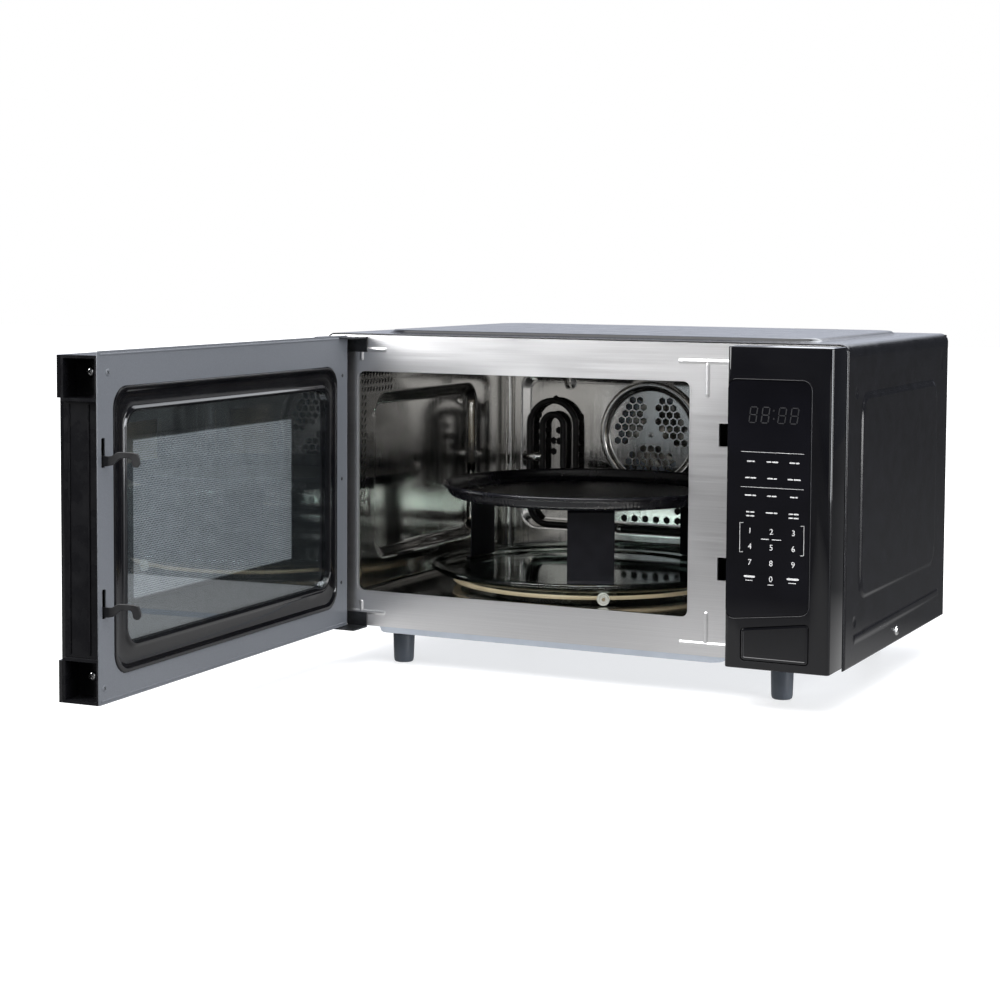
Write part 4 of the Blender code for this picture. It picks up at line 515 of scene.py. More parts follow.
def rough_surface(tree, shader, source, height):
    """Bump of a small height, in metres."""
    bump = tree.nodes.new("ShaderNodeBump")
    bump.inputs["Distance"].default_value = height
    tree.links.new(source, bump.inputs["Height"])
    tree.links.new(bump.outputs["Normal"], shader.inputs["Normal"])


def plain_finish(
    name, low, high, roughness, metallic=0.0, scale=60.0, height=0.0, stretch=(1, 1, 1), grain=None, sheen=0.5
):
    """A finish whose colour and roughness vary softly, with an optional fine bump."""
    tree, shader = new_finish(name)
    soft = texture(tree, scale, 3.0, stretch)
    tree.links.new(blended(tree, soft.outputs["Fac"], low, high), shader.inputs["Base Color"])
    tree.links.new(ranged(tree, soft.outputs["Fac"], *roughness), shader.inputs["Roughness"])
    shader.inputs["Metallic"].default_value = metallic
    shader.inputs["Specular IOR Level"].default_value = sheen
    if height:
        fine = texture(tree, grain or 900.0, 2.0, stretch)
        rough_surface(tree, shader, fine.outputs["Fac"], height)
    return shader


def glass_finish(name, tint, gloss_tint, roughness, share=1.0, edge=None):
    """A thin clear sheet: it lets light straight through and mirrors more at a shallow angle."""
    tree, shader = new_finish(name)
    output = tree.nodes["Material Output"]
    tree.nodes.remove(shader)
    clear = tree.nodes.new("ShaderNodeBsdfTransparent")
    mirror = tree.nodes.new("ShaderNodeBsdfGlossy")
    mirror.inputs["Color"].default_value = (*gloss_tint, 1)
    streak = texture(tree, 14.0, 2.0)
    tree.links.new(
        ranged(tree, streak.outputs["Fac"], roughness * 0.6, roughness * 1.6), mirror.inputs["Roughness"]
    )
    facing = tree.nodes.new("ShaderNodeLayerWeight")
    facing.inputs["Blend"].default_value = 0.35
    tree.links.new(
        blended(tree, facing.outputs["Facing"], tint, edge or tint, 0.35, 0.95), clear.inputs["Color"]
    )
    fresnel = tree.nodes.new("ShaderNodeFresnel")
    fresnel.inputs["IOR"].default_value = 1.45
    part = tree.nodes.new("ShaderNodeMath")
    part.operation = "MULTIPLY"
    part.inputs[1].default_value = share
    tree.links.new(fresnel.outputs["Fac"], part.inputs[0])
    mix = tree.nodes.new("ShaderNodeMixShader")
    tree.links.new(part.outputs["Value"], mix.inputs["Fac"])
    tree.links.new(clear.outputs["BSDF"], mix.inputs[1])
    tree.links.new(mirror.outputs["BSDF"], mix.inputs[2])
    tree.links.new(mix.outputs["Shader"], output.inputs["Surface"])


def brushed_finish(name, low, high, roughness, stretch, height=0.00004):
    tree, shader = new_finish(name)
    grain = texture(tree, 1.0, 5.0, stretch)
    cloud = texture(tree, 9.0, 2.0)
    tree.links.new(blended(tree, grain.outputs["Fac"], low, high), shader.inputs["Base Color"])
    mixed = tree.nodes.new("ShaderNodeMath")
    mixed.operation = "ADD"
    tree.links.new(ranged(tree, grain.outputs["Fac"], *roughness), mixed.inputs[0])
    tree.links.new(ranged(tree, cloud.outputs["Fac"], -0.03, 0.05), mixed.inputs[1])
    tree.links.new(mixed.outputs["Value"], shader.inputs["Roughness"])
    shader.inputs["Metallic"].default_value = 1.0
    rough_surface(tree, shader, grain.outputs["Fac"], height)


def make_finishes():
    plain_finish(
        "case_paint",
        (0.006, 0.006, 0.007),
        (0.009, 0.009, 0.011),
        (0.14, 0.20),
        height=0.000012,
        grain=700,
        sheen=0.35,
    )
    brushed_finish(
        "frame_steel", (0.74, 0.735, 0.74), (0.82, 0.815, 0.82), (0.30, 0.40), (9, 9, 2600), 0.00002
    )
    brushed_finish(
        "cavity_steel", (0.60, 0.59, 0.57), (0.68, 0.67, 0.65), (0.08, 0.17), (500, 500, 14), 0.000008
    )
    # painted highlight: a lighter copy of the cavity steel, no smoother than it, so the opening's lip and the
    # grille's bead look brighter
    brushed_finish(
        "painted_highlight_steel", (0.62, 0.61, 0.59), (0.78, 0.77, 0.75), (0.10, 0.18), (300, 300, 20), 0.00001
    )
    plain_finish("galvanised", (0.70, 0.76, 0.85), (0.78, 0.84, 0.93), (0.38, 0.50), 0.15, scale=40)
    plain_finish("foot_plastic", (0.030, 0.038, 0.050), (0.045, 0.054, 0.068), (0.42, 0.55), height=0.00003)
    plain_finish("panel_gloss", (0.003, 0.003, 0.004), (0.005, 0.005, 0.006), (0.05, 0.09), scale=20)
    plain_finish("fascia_glass", (0.002, 0.002, 0.003), (0.004, 0.004, 0.006), (0.03, 0.06), scale=15)
    plain_finish("door_glass", (0.003, 0.003, 0.004), (0.005, 0.005, 0.006), (0.03, 0.06), scale=15)
    plain_finish(
        "door_plastic",
        (0.004, 0.004, 0.005),
        (0.007, 0.007, 0.008),
        (0.22, 0.34),
        height=0.00001,
        sheen=0.12,
    )
    plain_finish(
        "inner_paint",
        (0.100, 0.107, 0.120),
        (0.128, 0.136, 0.152),
        (0.36, 0.48),
        height=0.00006,
        grain=1500,
        scale=900,
    )
    plain_finish("ring_gloss", (0.003, 0.003, 0.004), (0.005, 0.005, 0.006), (0.10, 0.16), scale=30)
    plain_finish("screen_steel", (0.30, 0.31, 0.33), (0.40, 0.41, 0.43), (0.40, 0.55), 0.2, scale=80)
    plain_finish("screen_plain", (0.012, 0.013, 0.014), (0.018, 0.019, 0.02), (0.30, 0.42), scale=80)
    plain_finish("latch_plastic", (0.006, 0.006, 0.007), (0.010, 0.010, 0.011), (0.30, 0.42), height=0.00002)
    plain_finish("switch_plastic", (0.08, 0.08, 0.09), (0.12, 0.12, 0.13), (0.45, 0.55))
    plain_finish("circuit_board", (0.03, 0.12, 0.05), (0.06, 0.18, 0.08), (0.40, 0.55), scale=300)
    plain_finish("display_glass", (0.012, 0.012, 0.016), (0.02, 0.02, 0.026), (0.08, 0.14))
    plain_finish("screw_steel", (0.52, 0.52, 0.52), (0.68, 0.68, 0.67), (0.22, 0.34), 1.0, scale=400)
    plain_finish("rivet_steel", (0.66, 0.66, 0.66), (0.82, 0.82, 0.82), (0.14, 0.24), 1.0, scale=400)
    plain_finish("hinge_zinc", (0.42, 0.42, 0.41), (0.60, 0.60, 0.58), (0.28, 0.42), 1.0, scale=200)
    plain_finish("hinge_dark", (0.020, 0.021, 0.023), (0.040, 0.041, 0.044), (0.30, 0.40), 0.6, scale=200)
    plain_finish("coupler_plastic", (0.50, 0.46, 0.38), (0.60, 0.56, 0.47), (0.40, 0.50))
    plain_finish("ring_plastic", (0.44, 0.34, 0.22), (0.54, 0.43, 0.29), (0.40, 0.52), height=0.00002)
    plain_finish("roller_plastic", (0.70, 0.69, 0.64), (0.80, 0.79, 0.74), (0.25, 0.35))
    plain_finish(
        "pan_coating",
        (0.005, 0.005, 0.008),
        (0.010, 0.010, 0.014),
        (0.20, 0.30),
        height=0.00003,
        grain=1400,
    )
    plain_finish("leg_coating", (0.004, 0.004, 0.006), (0.008, 0.008, 0.011), (0.36, 0.46), sheen=0.15)
    plain_finish("heater_black", (0.010, 0.010, 0.010), (0.022, 0.021, 0.020), (0.42, 0.60), height=0.00003)
    plain_finish("fan_steel", (0.46, 0.44, 0.41), (0.60, 0.58, 0.54), (0.26, 0.38), 1.0, scale=120)
    plain_finish("mica", (0.50, 0.42, 0.30), (0.62, 0.54, 0.41), (0.45, 0.60), scale=90)
    plain_finish("core_steel", (0.10, 0.10, 0.10), (0.16, 0.16, 0.16), (0.45, 0.6), 0.6, stretch=(1, 60, 1))
    plain_finish("mark_white", (0.52, 0.52, 0.52), (0.60, 0.60, 0.60), (0.50, 0.60))
    plain_finish("mark_grey", (0.010, 0.010, 0.012), (0.016, 0.016, 0.018), (0.35, 0.45))
    # painted shade: a near-black finish that stands in for the shade inside holes, slots and dimples
    plain_finish("painted_hole_shade", (0.002, 0.002, 0.002), (0.004, 0.004, 0.004), (0.60, 0.80))
    glass_finish("clear_glass", (0.95, 0.97, 0.97), (0.95, 0.97, 1.0), 0.02, 0.35)
    glass_finish("tray_glass", (0.90, 0.94, 0.93), (0.95, 1.0, 0.98), 0.05, 1.2, (0.52, 0.62, 0.59))
    sparkle()


def sparkle():
    """Dark coating with fine bright flecks, for the pan's floor."""
    tree, shader = new_finish("pan_floor")
    flecks = texture(tree, 2600.0, kind="ShaderNodeTexVoronoi")
    tree.links.new(
        blended(tree, flecks.outputs["Distance"], (0.30, 0.30, 0.31), (0.010, 0.010, 0.012), 0.06, 0.22),
        shader.inputs["Base Color"],
    )
    cloud = texture(tree, 1500.0)
    tree.links.new(ranged(tree, cloud.outputs["Fac"], 0.24, 0.42), shader.inputs["Roughness"])
    rough_surface(tree, shader, cloud.outputs["Fac"], 0.00016)


# ---- case ----
def make_case_shell():
    """Folded sheet over the sides and top, with a raised panel on the top and on each side."""
    half = CASE_HALF
    corner = CASE_CORNER
    plateau = rectangle((-0.220, 0.030), (0.220, CASE_DEPTH - 0.022), 0.030)
    notch = rectangle((0.108, CASE_DEPTH - 0.0385), (0.152, CASE_DEPTH - 0.0305), 0.0039)
    raised = rectangle((0.043, 0.090), (0.304, 0.275), 0.020)
    rows = spaced(
        0,
        CASE_DEPTH,
        (0.030, 0.043, 0.050, 0.304, 0.297, CASE_DEPTH - 0.022, CASE_DEPTH - 0.032, 0.171),
        0.0012,
        0.012,
    )
    heights = spaced(CASE_BOTTOM, CASE_TOP - corner, (0.044, 0.058, 0.072, 0.090, 0.275), 0.0012, 0.010)
    widths = spaced(-half + corner, half - corner, (-0.220, -0.20, 0.20, 0.220, 0.130), 0.0014, 0.014)
    profile = [(-half, z, -1, 0, "side") for z in heights]
    profile += turn_points((-half + corner, CASE_TOP - corner), corner, 180, 90)
    profile += [(x, CASE_TOP, 0, 1, "top") for x in widths]
    profile += turn_points((half - corner, CASE_TOP - corner), corner, 90, 0)
    profile += [(half, z, 1, 0, "side") for z in heights[::-1]]
    points = np.zeros((len(profile), len(rows), 3))
    for index, (x, z, out_x, out_z, part) in enumerate(profile):
        rise = np.zeros(len(rows))
        if part == "top":
            rise = PLATEAU_RISE * pressed(plateau, x, rows, 0.006) - 0.0022 * pressed(notch, x, rows, 0.0025)
        elif part == "side":
            rise = (SIDE_RISE - 0.0001) * pressed(raised, rows, z, 0.0050)
            rise += 0.0009 * bead(segment_distance(rows, z, (0.034, 0.0575), (0.318, 0.0600)), 0.0035)
            for spot in ((0.030, 0.276), (0.033, 0.0725), (0.322, 0.292)):
                rise -= 0.0008 * bead(np.hypot(rows - spot[0], z - spot[1]), 0.0045)
        points[index, :, 0] = x + out_x * rise
        points[index, :, 1] = rows
        points[index, :, 2] = z + out_z * rise
    shell = Shape().grid(points).mesh("case_shell")
    made = piece("case_shell", shell, "case_paint", stands_for=("outer_case",))
    thicken(made, SHEET, -outward_offset(made, Vector((0, 0.18, 0.15))))


def turn_points(centre, radius, start, end, steps=8):
    """Profile points and outward directions round a corner."""
    made = []
    for step in range(1, steps):
        angle = math.radians(start + (end - start) * step / steps)
        way = (math.cos(angle), math.sin(angle))
        made.append((centre[0] + radius * way[0], centre[1] + radius * way[1], *way, "corner"))
    return made


def make_screw(name, centre, axis, radius, rise, body="case", stands_for=(), finish="rivet_steel"):
    """Pan-head screw with a cross slot, whose dark cross is painted shade for the slot."""
    profile = [
        (0, rise),
        (radius * 0.45, rise * 0.96),
        (radius * 0.80, rise * 0.74),
        (radius * 0.97, rise * 0.30),
        (radius, 0.0),
        (radius, -0.0002),
        (0, -0.0002),
    ]
    head = Shape().turned(rounded_profile(profile, 1), centre, axis, 32)
    made = piece(name, head.mesh(name, weld=1e-6), finish, body, stands_for)
    axis = Vector(axis).normalized()
    side = axis.orthogonal().normalized()
    other = axis.cross(side)
    # the cross slot is a dark sheet on the head: painted shade, not a cut
    piece(
        name + "_slot",
        cross_slot_shade(name, centre, axis, side, other, radius, rise),
        "painted_hole_shade",
        body,
    )
    return made


def cross_slot_shade(name, centre, axis, side, other, radius, rise):
    """The dark cross in a screw head: thin strips over the dome, their dark colour painted shade for the slot."""
    shape = Shape()
    for long_way, short_way in ((side, other), (other, side)):
        strip = []
        for along in (-0.60, -0.2, 0.2, 0.60):
            level = rise * (1.015 - 0.20 * abs(along) ** 2)
            strip.append(
                [
                    tuple(
                        Vector(centre) + axis * level + long_way * (along * radius) + short_way * (
                            across * radius * 0.11
                        )
                    )
                    for across in (-1, 1)
                ]
            )
        shape.grid(np.array(strip))
    return shape.mesh(name + "_slot")


def make_base_tray():
    """Galvanised floor pan: a plate with a dish pressed down under the cavity."""
    low, high = oven_box("base_pan")
    dish = rectangle((-0.2150, 0.010), (0.1450, CASE_DEPTH - 0.013), 0.016)
    ribs = [
        rectangle((-0.175, 0.050), (-0.100, 0.300), 0.020), rectangle((0.010, 0.050), (0.100, 0.300), 0.020)
    ]
    across = spaced(low.x, high.x, (-0.215, -0.205, 0.145, 0.135), 0.0012, 0.012)
    deep = spaced(low.y, high.y, (0.010, 0.020, CASE_DEPTH - 0.013, CASE_DEPTH - 0.023), 0.0012, 0.012)
    x, y = np.meshgrid(across, deep, indexing="ij")
    drop = 0.0078 * eased(-dish.distance(x, y) / 0.0035)
    for rib in ribs:
        drop -= 0.0020 * pressed(rib, x, y, 0.006)
    z = high.z - 0.0002 - drop
    sheet = Shape().grid(np.stack([x, y, z], axis=-1)).mesh("base_tray")
    thicken(piece("base_tray", sheet, "galvanised", stands_for=("base_pan",)), 0.0009, 1.0)
    rim = [
        (-0.2155, 0.0118, 0.0352),
        (-0.2135, 0.0100, 0.0352),
        (0.1435, 0.0100, 0.0352),
        (0.1455, 0.0118, 0.0352),
    ]
    tube("base_tray_lip", rim, 0.0007, "galvanised")


def make_feet():
    for name in ("foot_front_left", "foot_front_right", "foot_rear_left", "foot_rear_right"):
        low, high = oven_box(name)
        centre = ((low.x + high.x) / 2, (low.y + high.y) / 2, 0)
        top = high.z
        wide = (high.x - low.x) / 2
        narrow = wide - 0.0010
        profile = [
            (0, top),
            (wide * 0.98, top),
            (wide, top - 0.0006),
            (narrow + 0.0002, 0.0040),
            (narrow, 0.0026),
            (narrow - 0.0004, 0.0008),
            (narrow - 0.0014, 0.0),
            (narrow * 0.62, 0.0),
            (narrow * 0.58, 0.0008),
            (0, 0.0008),
        ]
        shape = Shape().turned(profile, centre, (0, 0, 1), 48)
        piece(name + "_boot", shape.mesh(name + "_boot", weld=1e-6), "foot_plastic", stands_for=(name,))


def make_rear():
    """Rear sheet with the deep cover over the hot-air fan, louvres, spacer and the lead's bush."""
    plate_y = CASE_DEPTH - 2 * SHEET
    bulge = rectangle((CAVITY_X - 0.105, 0.100), (CAVITY_X + 0.105, 0.296), 0.012)
    across = spaced(
        REAR_LOW.x,
        REAR_HIGH.x,
        (CAVITY_X - 0.105, CAVITY_X - 0.093, CAVITY_X + 0.093, CAVITY_X + 0.105),
        0.001,
        0.014,
    )
    up = spaced(REAR_LOW.z, REAR_HIGH.z, (0.100, 0.112, 0.284, 0.296), 0.001, 0.014)
    x, z = np.meshgrid(across, up, indexing="ij")
    inside = -bulge.distance(x, z)
    full = REAR_HIGH.y - plate_y - 0.0002
    y = plate_y + SHEET + (full - SHEET) * np.sqrt(
        np.clip(1 - (1 - np.clip(inside / 0.012, 0, 1)) ** 2, 0, 1)
    )
    cover = Shape().grid(np.stack([x, y, z], axis=-1)).mesh("rear_sheet", 50)
    made = piece("rear_sheet", cover, "case_paint", stands_for=("rear_cover",))
    thicken(made, SHEET, -outward_offset(made, Vector((0, 0.10, 0.15))))
    louvres = Shape()
    for index in range(8):
        z_mid = 0.1355 + index * 0.0120
        rings = []
        for step in range(9):
            angle = math.pi * step / 8
            rings.append([
                (place, plate_y + SHEET + 0.0026 * math.sin(angle) * hood, z_mid + 0.0036 * math.cos(angle))
                for place, hood in ((0.150, 0.0), (0.153, 1.0), (0.225, 1.0), (0.228, 0.0))
            ])
        louvres.grid(np.array(rings))
    piece("rear_louvres", louvres.mesh("rear_louvres"), "case_paint")
    # Dark strips under the louvres: painted shade for the openings beneath them.
    slit_shade = Shape()
    for index in range(8):
        z_mid = 0.1355 + index * 0.0120
        slit_shade.block(
            (0.153, plate_y + SHEET, z_mid - 0.0040), (0.225, plate_y + SHEET + 0.0002, z_mid - 0.0028)
        )
    piece("rear_louvre_slit_shade", slit_shade.mesh("rear_louvre_slit_shade"), "painted_hole_shade")
    spacer = [(0, 0.0140), (0.0062, 0.0138), (0.0078, 0.0126), (0.0084, 0.0100), (0.0100, 0.0)]
    shape = Shape().turned(rounded_profile(spacer, 1), (0.2440, CASE_DEPTH - SHEET, 0.1410), (0, 1, 0), 48)
    piece("rear_spacer", shape.mesh("rear_spacer", weld=1e-6), "case_paint")
    low, high = oven_box("cord_inlet")
    centre = ((low.x + high.x) / 2, plate_y + SHEET, (low.z + high.z) / 2)
    bush = [
        (0.0045, 0.0058),
        (0.0085, 0.0058),
        (0.0096, 0.0050),
        (0.0118, 0.0004),
        (0.0080, 0.0),
        (0.0080, -0.0060),
        (0.0045, -0.0060),
        (0.0045, 0.0058),
    ]
    shape = Shape().turned(bush, centre, (0, 1, 0), 48)
    piece("cord_bush", shape.mesh("cord_bush", weld=1e-6), "foot_plastic", stands_for=("cord_inlet",))
    for index, (x_place, z_place) in enumerate(
        ((-0.245, 0.300), (0.245, 0.300), (-0.245, 0.052), (0.245, 0.052), (0.0, 0.306), (0.0, 0.050))
    ):
        make_screw(f"rear_screw_{index}", (x_place, plate_y + SHEET, z_place), (0, 1, 0), 0.0036, 0.0018)


# ---- front frame ----
def make_frame_details():
    """Pressed beads at the corners of the frame, the rolled lip of the opening and the slot rims."""
    beads = {
        "top_left": [(-0.2330, 0.3037), (-0.1940, 0.3037)],
        "top_left_drop": [(-0.2215, 0.3037), (-0.2215, 0.2930)],
        "bottom_left": [(-0.2330, 0.0500), (-0.1950, 0.0500)],
        "bottom_left_rise": [(-0.2215, 0.0500), (-0.2215, 0.0610)],
        "top_right": [(0.1040, 0.3010), (0.1630, 0.3010)],
        "top_right_drop": [(0.1320, 0.3010), (0.1320, 0.2690)],
        "bottom_right": [(0.1070, 0.0473), (0.1630, 0.0473)],
        "bottom_right_rise": [(0.1330, 0.0473), (0.1330, 0.0770)],
    }
    shape = Shape()
    for line in beads.values():
        (x0, z0), (x1, z1) = line
        along = Vector((x1 - x0, z1 - z0))
        length = along.length
        along.normalize()
        across = Vector((-along.y, along.x))
        rows = []
        for step in range(25):
            place = length * step / 24
            end = min(place, length - place)
            height = 0.0011 * min(1.0, math.sqrt(max(0.0, 1 - (1 - min(1, end / 0.0024)) ** 2)))
            row = []
            for side in range(13):
                share = -1 + side / 6
                rise = height * math.cos(share * math.pi / 2) ** 1.3 if abs(share) < 1 else 0
                spot = Vector((x0, z0)) + along * place + across * (share * 0.0026)
                row.append((spot.x, 0.0001 - rise, spot.y))
            rows.append(row)
        shape.grid(np.array(rows))
    piece("frame_beads", shape.mesh("frame_beads", 60), "frame_steel")
    opening = rectangle(OPENING_LOW, OPENING_HIGH, OPENING_CORNER, 10)
    rings = []
    for step in range(9):
        angle = math.pi / 2 * step / 8
        rings.append(
            lift(opening.ring(-0.0012 * (1 - math.cos(angle)) + 0.0014), 0.0026 * math.sin(angle) - 0.0003)
        )
    for depth in (0.0040, 0.0060):
        rings.append(lift(opening.ring(0.0002), depth))
    # the lip's lighter steel is painted highlight
    piece("opening_lip", Shape().loft(rings).mesh("opening_lip", 60), "painted_highlight_steel")
    rims = Shape()
    for centre in ((0.15315, 0.2362), (0.15315, 0.1164)):
        inner = rectangle((0.1433, centre[1] - 0.0103), (0.1630, centre[1] + 0.0103), 0.0006, 3)
        rims.loft(
            [
                lift(inner.ring(0.0007), -0.0002),
                lift(inner.ring(0.0), -0.0002),
                lift(inner.ring(0.0), 0.0030),
            ]
        )
    piece("latch_slot_rims", rims.mesh("latch_slot_rims", 60), "frame_steel")
    # Two dark hexagons on the frame: painted shade for its dimples.
    dimple_shade = Shape()
    for x, z in ((-0.2395, 0.1380), (-0.2395, 0.2250)):
        dimple_shade.prism(hexagon(x, z, 0.0032), -0.00005, 0.0006)
    piece("frame_dimple_shade", dimple_shade.mesh("frame_dimple_shade"), "painted_hole_shade")


# ---- control panel ----
FASCIA = Outline([(0.1652, 0.0795), (0.2415, 0.0875), (0.2415, 0.2890), (0.1652, 0.2890)], 0.0085)
BUTTON = Outline([(0.1805, 0.0447), (0.2410, 0.0447), (0.2410, 0.0795), (0.1805, 0.0719)], 0.003)


def make_panel():
    """Gloss moulding with a sunk fascia and an opening for the door button."""
    front = PANEL_LOW.y
    section = rectangle((PANEL_LOW.x, front), (PANEL_HIGH.x, PANEL_HIGH.y), 0.0032, 6)
    body = Shape()
    rings = []
    for inset, height in ((0.0012, 0.0), (0.0004, 0.0003), (0.0, 0.0011)):
        rings.append(lift(section.ring(-inset), PANEL_LOW.z + height, "Z"))
    for inset, height in ((0.0, 0.0011), (0.0004, 0.0003), (0.0012, 0.0)):
        rings.append(lift(section.ring(-inset), PANEL_HIGH.z - height, "Z"))
    body.loft(rings, capped=True)
    made = piece(
        "panel_moulding", body.mesh("panel_moulding", 30), "panel_gloss", stands_for=("control_panel",)
    )
    cutter = Shape()
    cutter.prism(FASCIA.ring(), front - 0.0030, front + 0.0016)
    cutter.prism(BUTTON.ring(0.0007), front - 0.0030, front + 0.0080)
    subtract(made, cutter)
    soften(made, 0.00035, 2, 50)
    rim = [(u, front + 0.00005, v) for u, v in FASCIA.ring(0.0001)]
    tube("fascia_rim", [point for point in rim if point[0] > 0.1690], 0.00035, "mark_grey")
    glass = Shape()
    glass.loft(
        [
            lift(FASCIA.ring(-0.0005), front + 0.0016),
            lift(FASCIA.ring(-0.0005), front + 0.0008),
            lift(FASCIA.ring(-0.0008), front + 0.0005),
        ],
        capped=True,
    )
    piece("fascia_sheet", glass.mesh("fascia_sheet", 30), "fascia_glass", stands_for=("control_fascia",))


def make_button():
    front = PANEL_LOW.y
    low, high = oven_box("door_button")
    cap = Shape()
    cap.loft(
        [
            lift(BUTTON.ring(0.0), front + 0.0030),
            lift(BUTTON.ring(0.0), front + 0.0006),
            lift(BUTTON.ring(-0.0002), front + 0.0002),
            lift(BUTTON.ring(-0.0007), front + 0.00002),
            lift(BUTTON.ring(-0.0022), front + 0.00002),
            lift(BUTTON.ring(-0.0026), front + 0.0004),
            lift(BUTTON.ring(-0.0028), front + 0.0004),
        ],
        capped=True,
    )
    stem = Shape().block((0.1850, front + 0.0028, 0.0545), (0.1920, high.y, 0.0615))
    cap.add(stem.points, stem.faces)
    piece("release_button", cap.mesh("release_button", 30), "panel_gloss", "button", ("door_button",))


def add_bar(shape, x0, z0, x1, z1, width, level):
    """A thin printed bar with round ends."""
    middle = ((x0 + x1) / 2, (z0 + z1) / 2)
    length = math.hypot(x1 - x0, z1 - z0) + width
    ring = slot_ring(*middle, length, width, math.atan2(z1 - z0, x1 - x0))
    shape.prism(ring, level - 0.00008, level + 0.00008)


def make_marks():
    """Printed marks: plain dashes for the programmes, digits for the keypad and a faint clock."""
    level = PANEL_LOW.y + 0.0004
    columns = (0.1874, 0.2068, 0.2266)
    dashes = Shape()
    rows = ((0.2182, 0.0031, 1), (0.2039, 0.0038, 1), (0.1887, 0.0030, 1), (0.1742, 0.0032, 2))
    for row, (z, half, lines) in enumerate(rows):
        for column, x in enumerate(columns):
            wide = half + 0.0008 * ((row + 2 * column) % 3)
            for line in range(lines):
                z_line = z - 0.0034 * line
                if lines == 2 and column == 1 and line:
                    continue
                cut = x - wide * 0.15 if (row + column) % 2 else x + wide * 0.25
                add_bar(dashes, x - wide, z_line, cut - 0.0006, z_line, 0.0011, level)
                add_bar(dashes, cut + 0.0010, z_line, x + wide, z_line, 0.0011, level)
    for z in (0.2263, 0.1958):
        add_bar(dashes, 0.1785, z, 0.2350, z, 0.00030, level)
    for side, turn in ((0.1782, 1), (0.2360, -1)):
        add_bar(dashes, side, 0.1390, side, 0.1645, 0.00035, level)
        for z in (0.1390, 0.1645):
            add_bar(dashes, side, z, side + turn * 0.0030, z, 0.00035, level)
    add_bar(dashes, 0.1975, 0.1512, 0.2045, 0.1512, 0.0006, level)
    add_bar(dashes, 0.2075, 0.1512, 0.2155, 0.1512, 0.0006, level)
    for x, wide in ((columns[0], 0.0042), (columns[2], 0.0046)):
        add_bar(dashes, x - wide, 0.1180, x + wide, 0.1180, 0.0017, level)
        add_bar(dashes, x - wide * 0.8, 0.1146, x + wide * 0.6, 0.1146, 0.0006, level)
    add_bar(dashes, 0.2045, 0.1118, 0.2092, 0.1118, 0.0006, level)
    piece("key_marks", dashes.mesh("key_marks"), "mark_white")
    digits = [
        (str(3 * row + column + 1), columns[column], 0.1577 - 0.0137 * row)
        for row in range(3) for column in range(3)
    ]
    digits.append(("0", columns[1], 0.1166))
    for text, x, z in digits:
        curve = bpy.data.curves.new("digit_" + text, "FONT")
        curve.body = text
        curve.size = 0.0070
        curve.extrude = 0.00008
        curve.align_x = "CENTER"
        curve.align_y = "CENTER"
        made = piece("digit_" + text, curve, "mark_white")
        stand = Matrix.Translation(Vector((x, level, z))) @ Matrix.Rotation(math.pi / 2, 4, "X")
        made.matrix_world = IN_OVEN @ stand
    clock = Shape()
    for x in (0.1890, 0.2000, 0.2150, 0.2260):
        make_digit(clock, x, 0.2585, 0.0062, 0.0135, level)
    for z in (0.2555, 0.2625):
        clock.prism(hexagon(0.2075, z, 0.0014), level - 0.00008, level + 0.00008)
    piece("clock_digits", clock.mesh("clock_digits"), "mark_grey")


def make_digit(shape, x, z, wide, high, level):
    """Seven dark bars of one unlit digit, leaning a little."""
    lean = 0.12
    half = wide / 2
    step = high / 2
    for side in (-half, half):
        for base in (0.0, -step):
            x0 = x + side + lean * base
            x1 = x + side + lean * (base + step)
            add_bar(shape, x0 + lean * 0.001, z + base + 0.001, x1, z + base + step - 0.001, 0.0010, level)
    for base in (-step, 0.0, step):
        shift = lean * base
        add_bar(shape, x - half + 0.001 + shift, z + base, x + half - 0.001 + shift, z + base, 0.0010, level)


# ---- cavity ----
LEFT_PANEL = rectangle((0.033, 0.095), (0.255, 0.260), 0.022)
CEILING_PANEL = rectangle((-0.180, 0.050), (0.070, 0.280), 0.030)
BACK_PANEL = rectangle((-0.2075, 0.0965), (0.1000, 0.2700), 0.020)
FLOOR_TRACK = 0.1405
FILLET = 0.0050


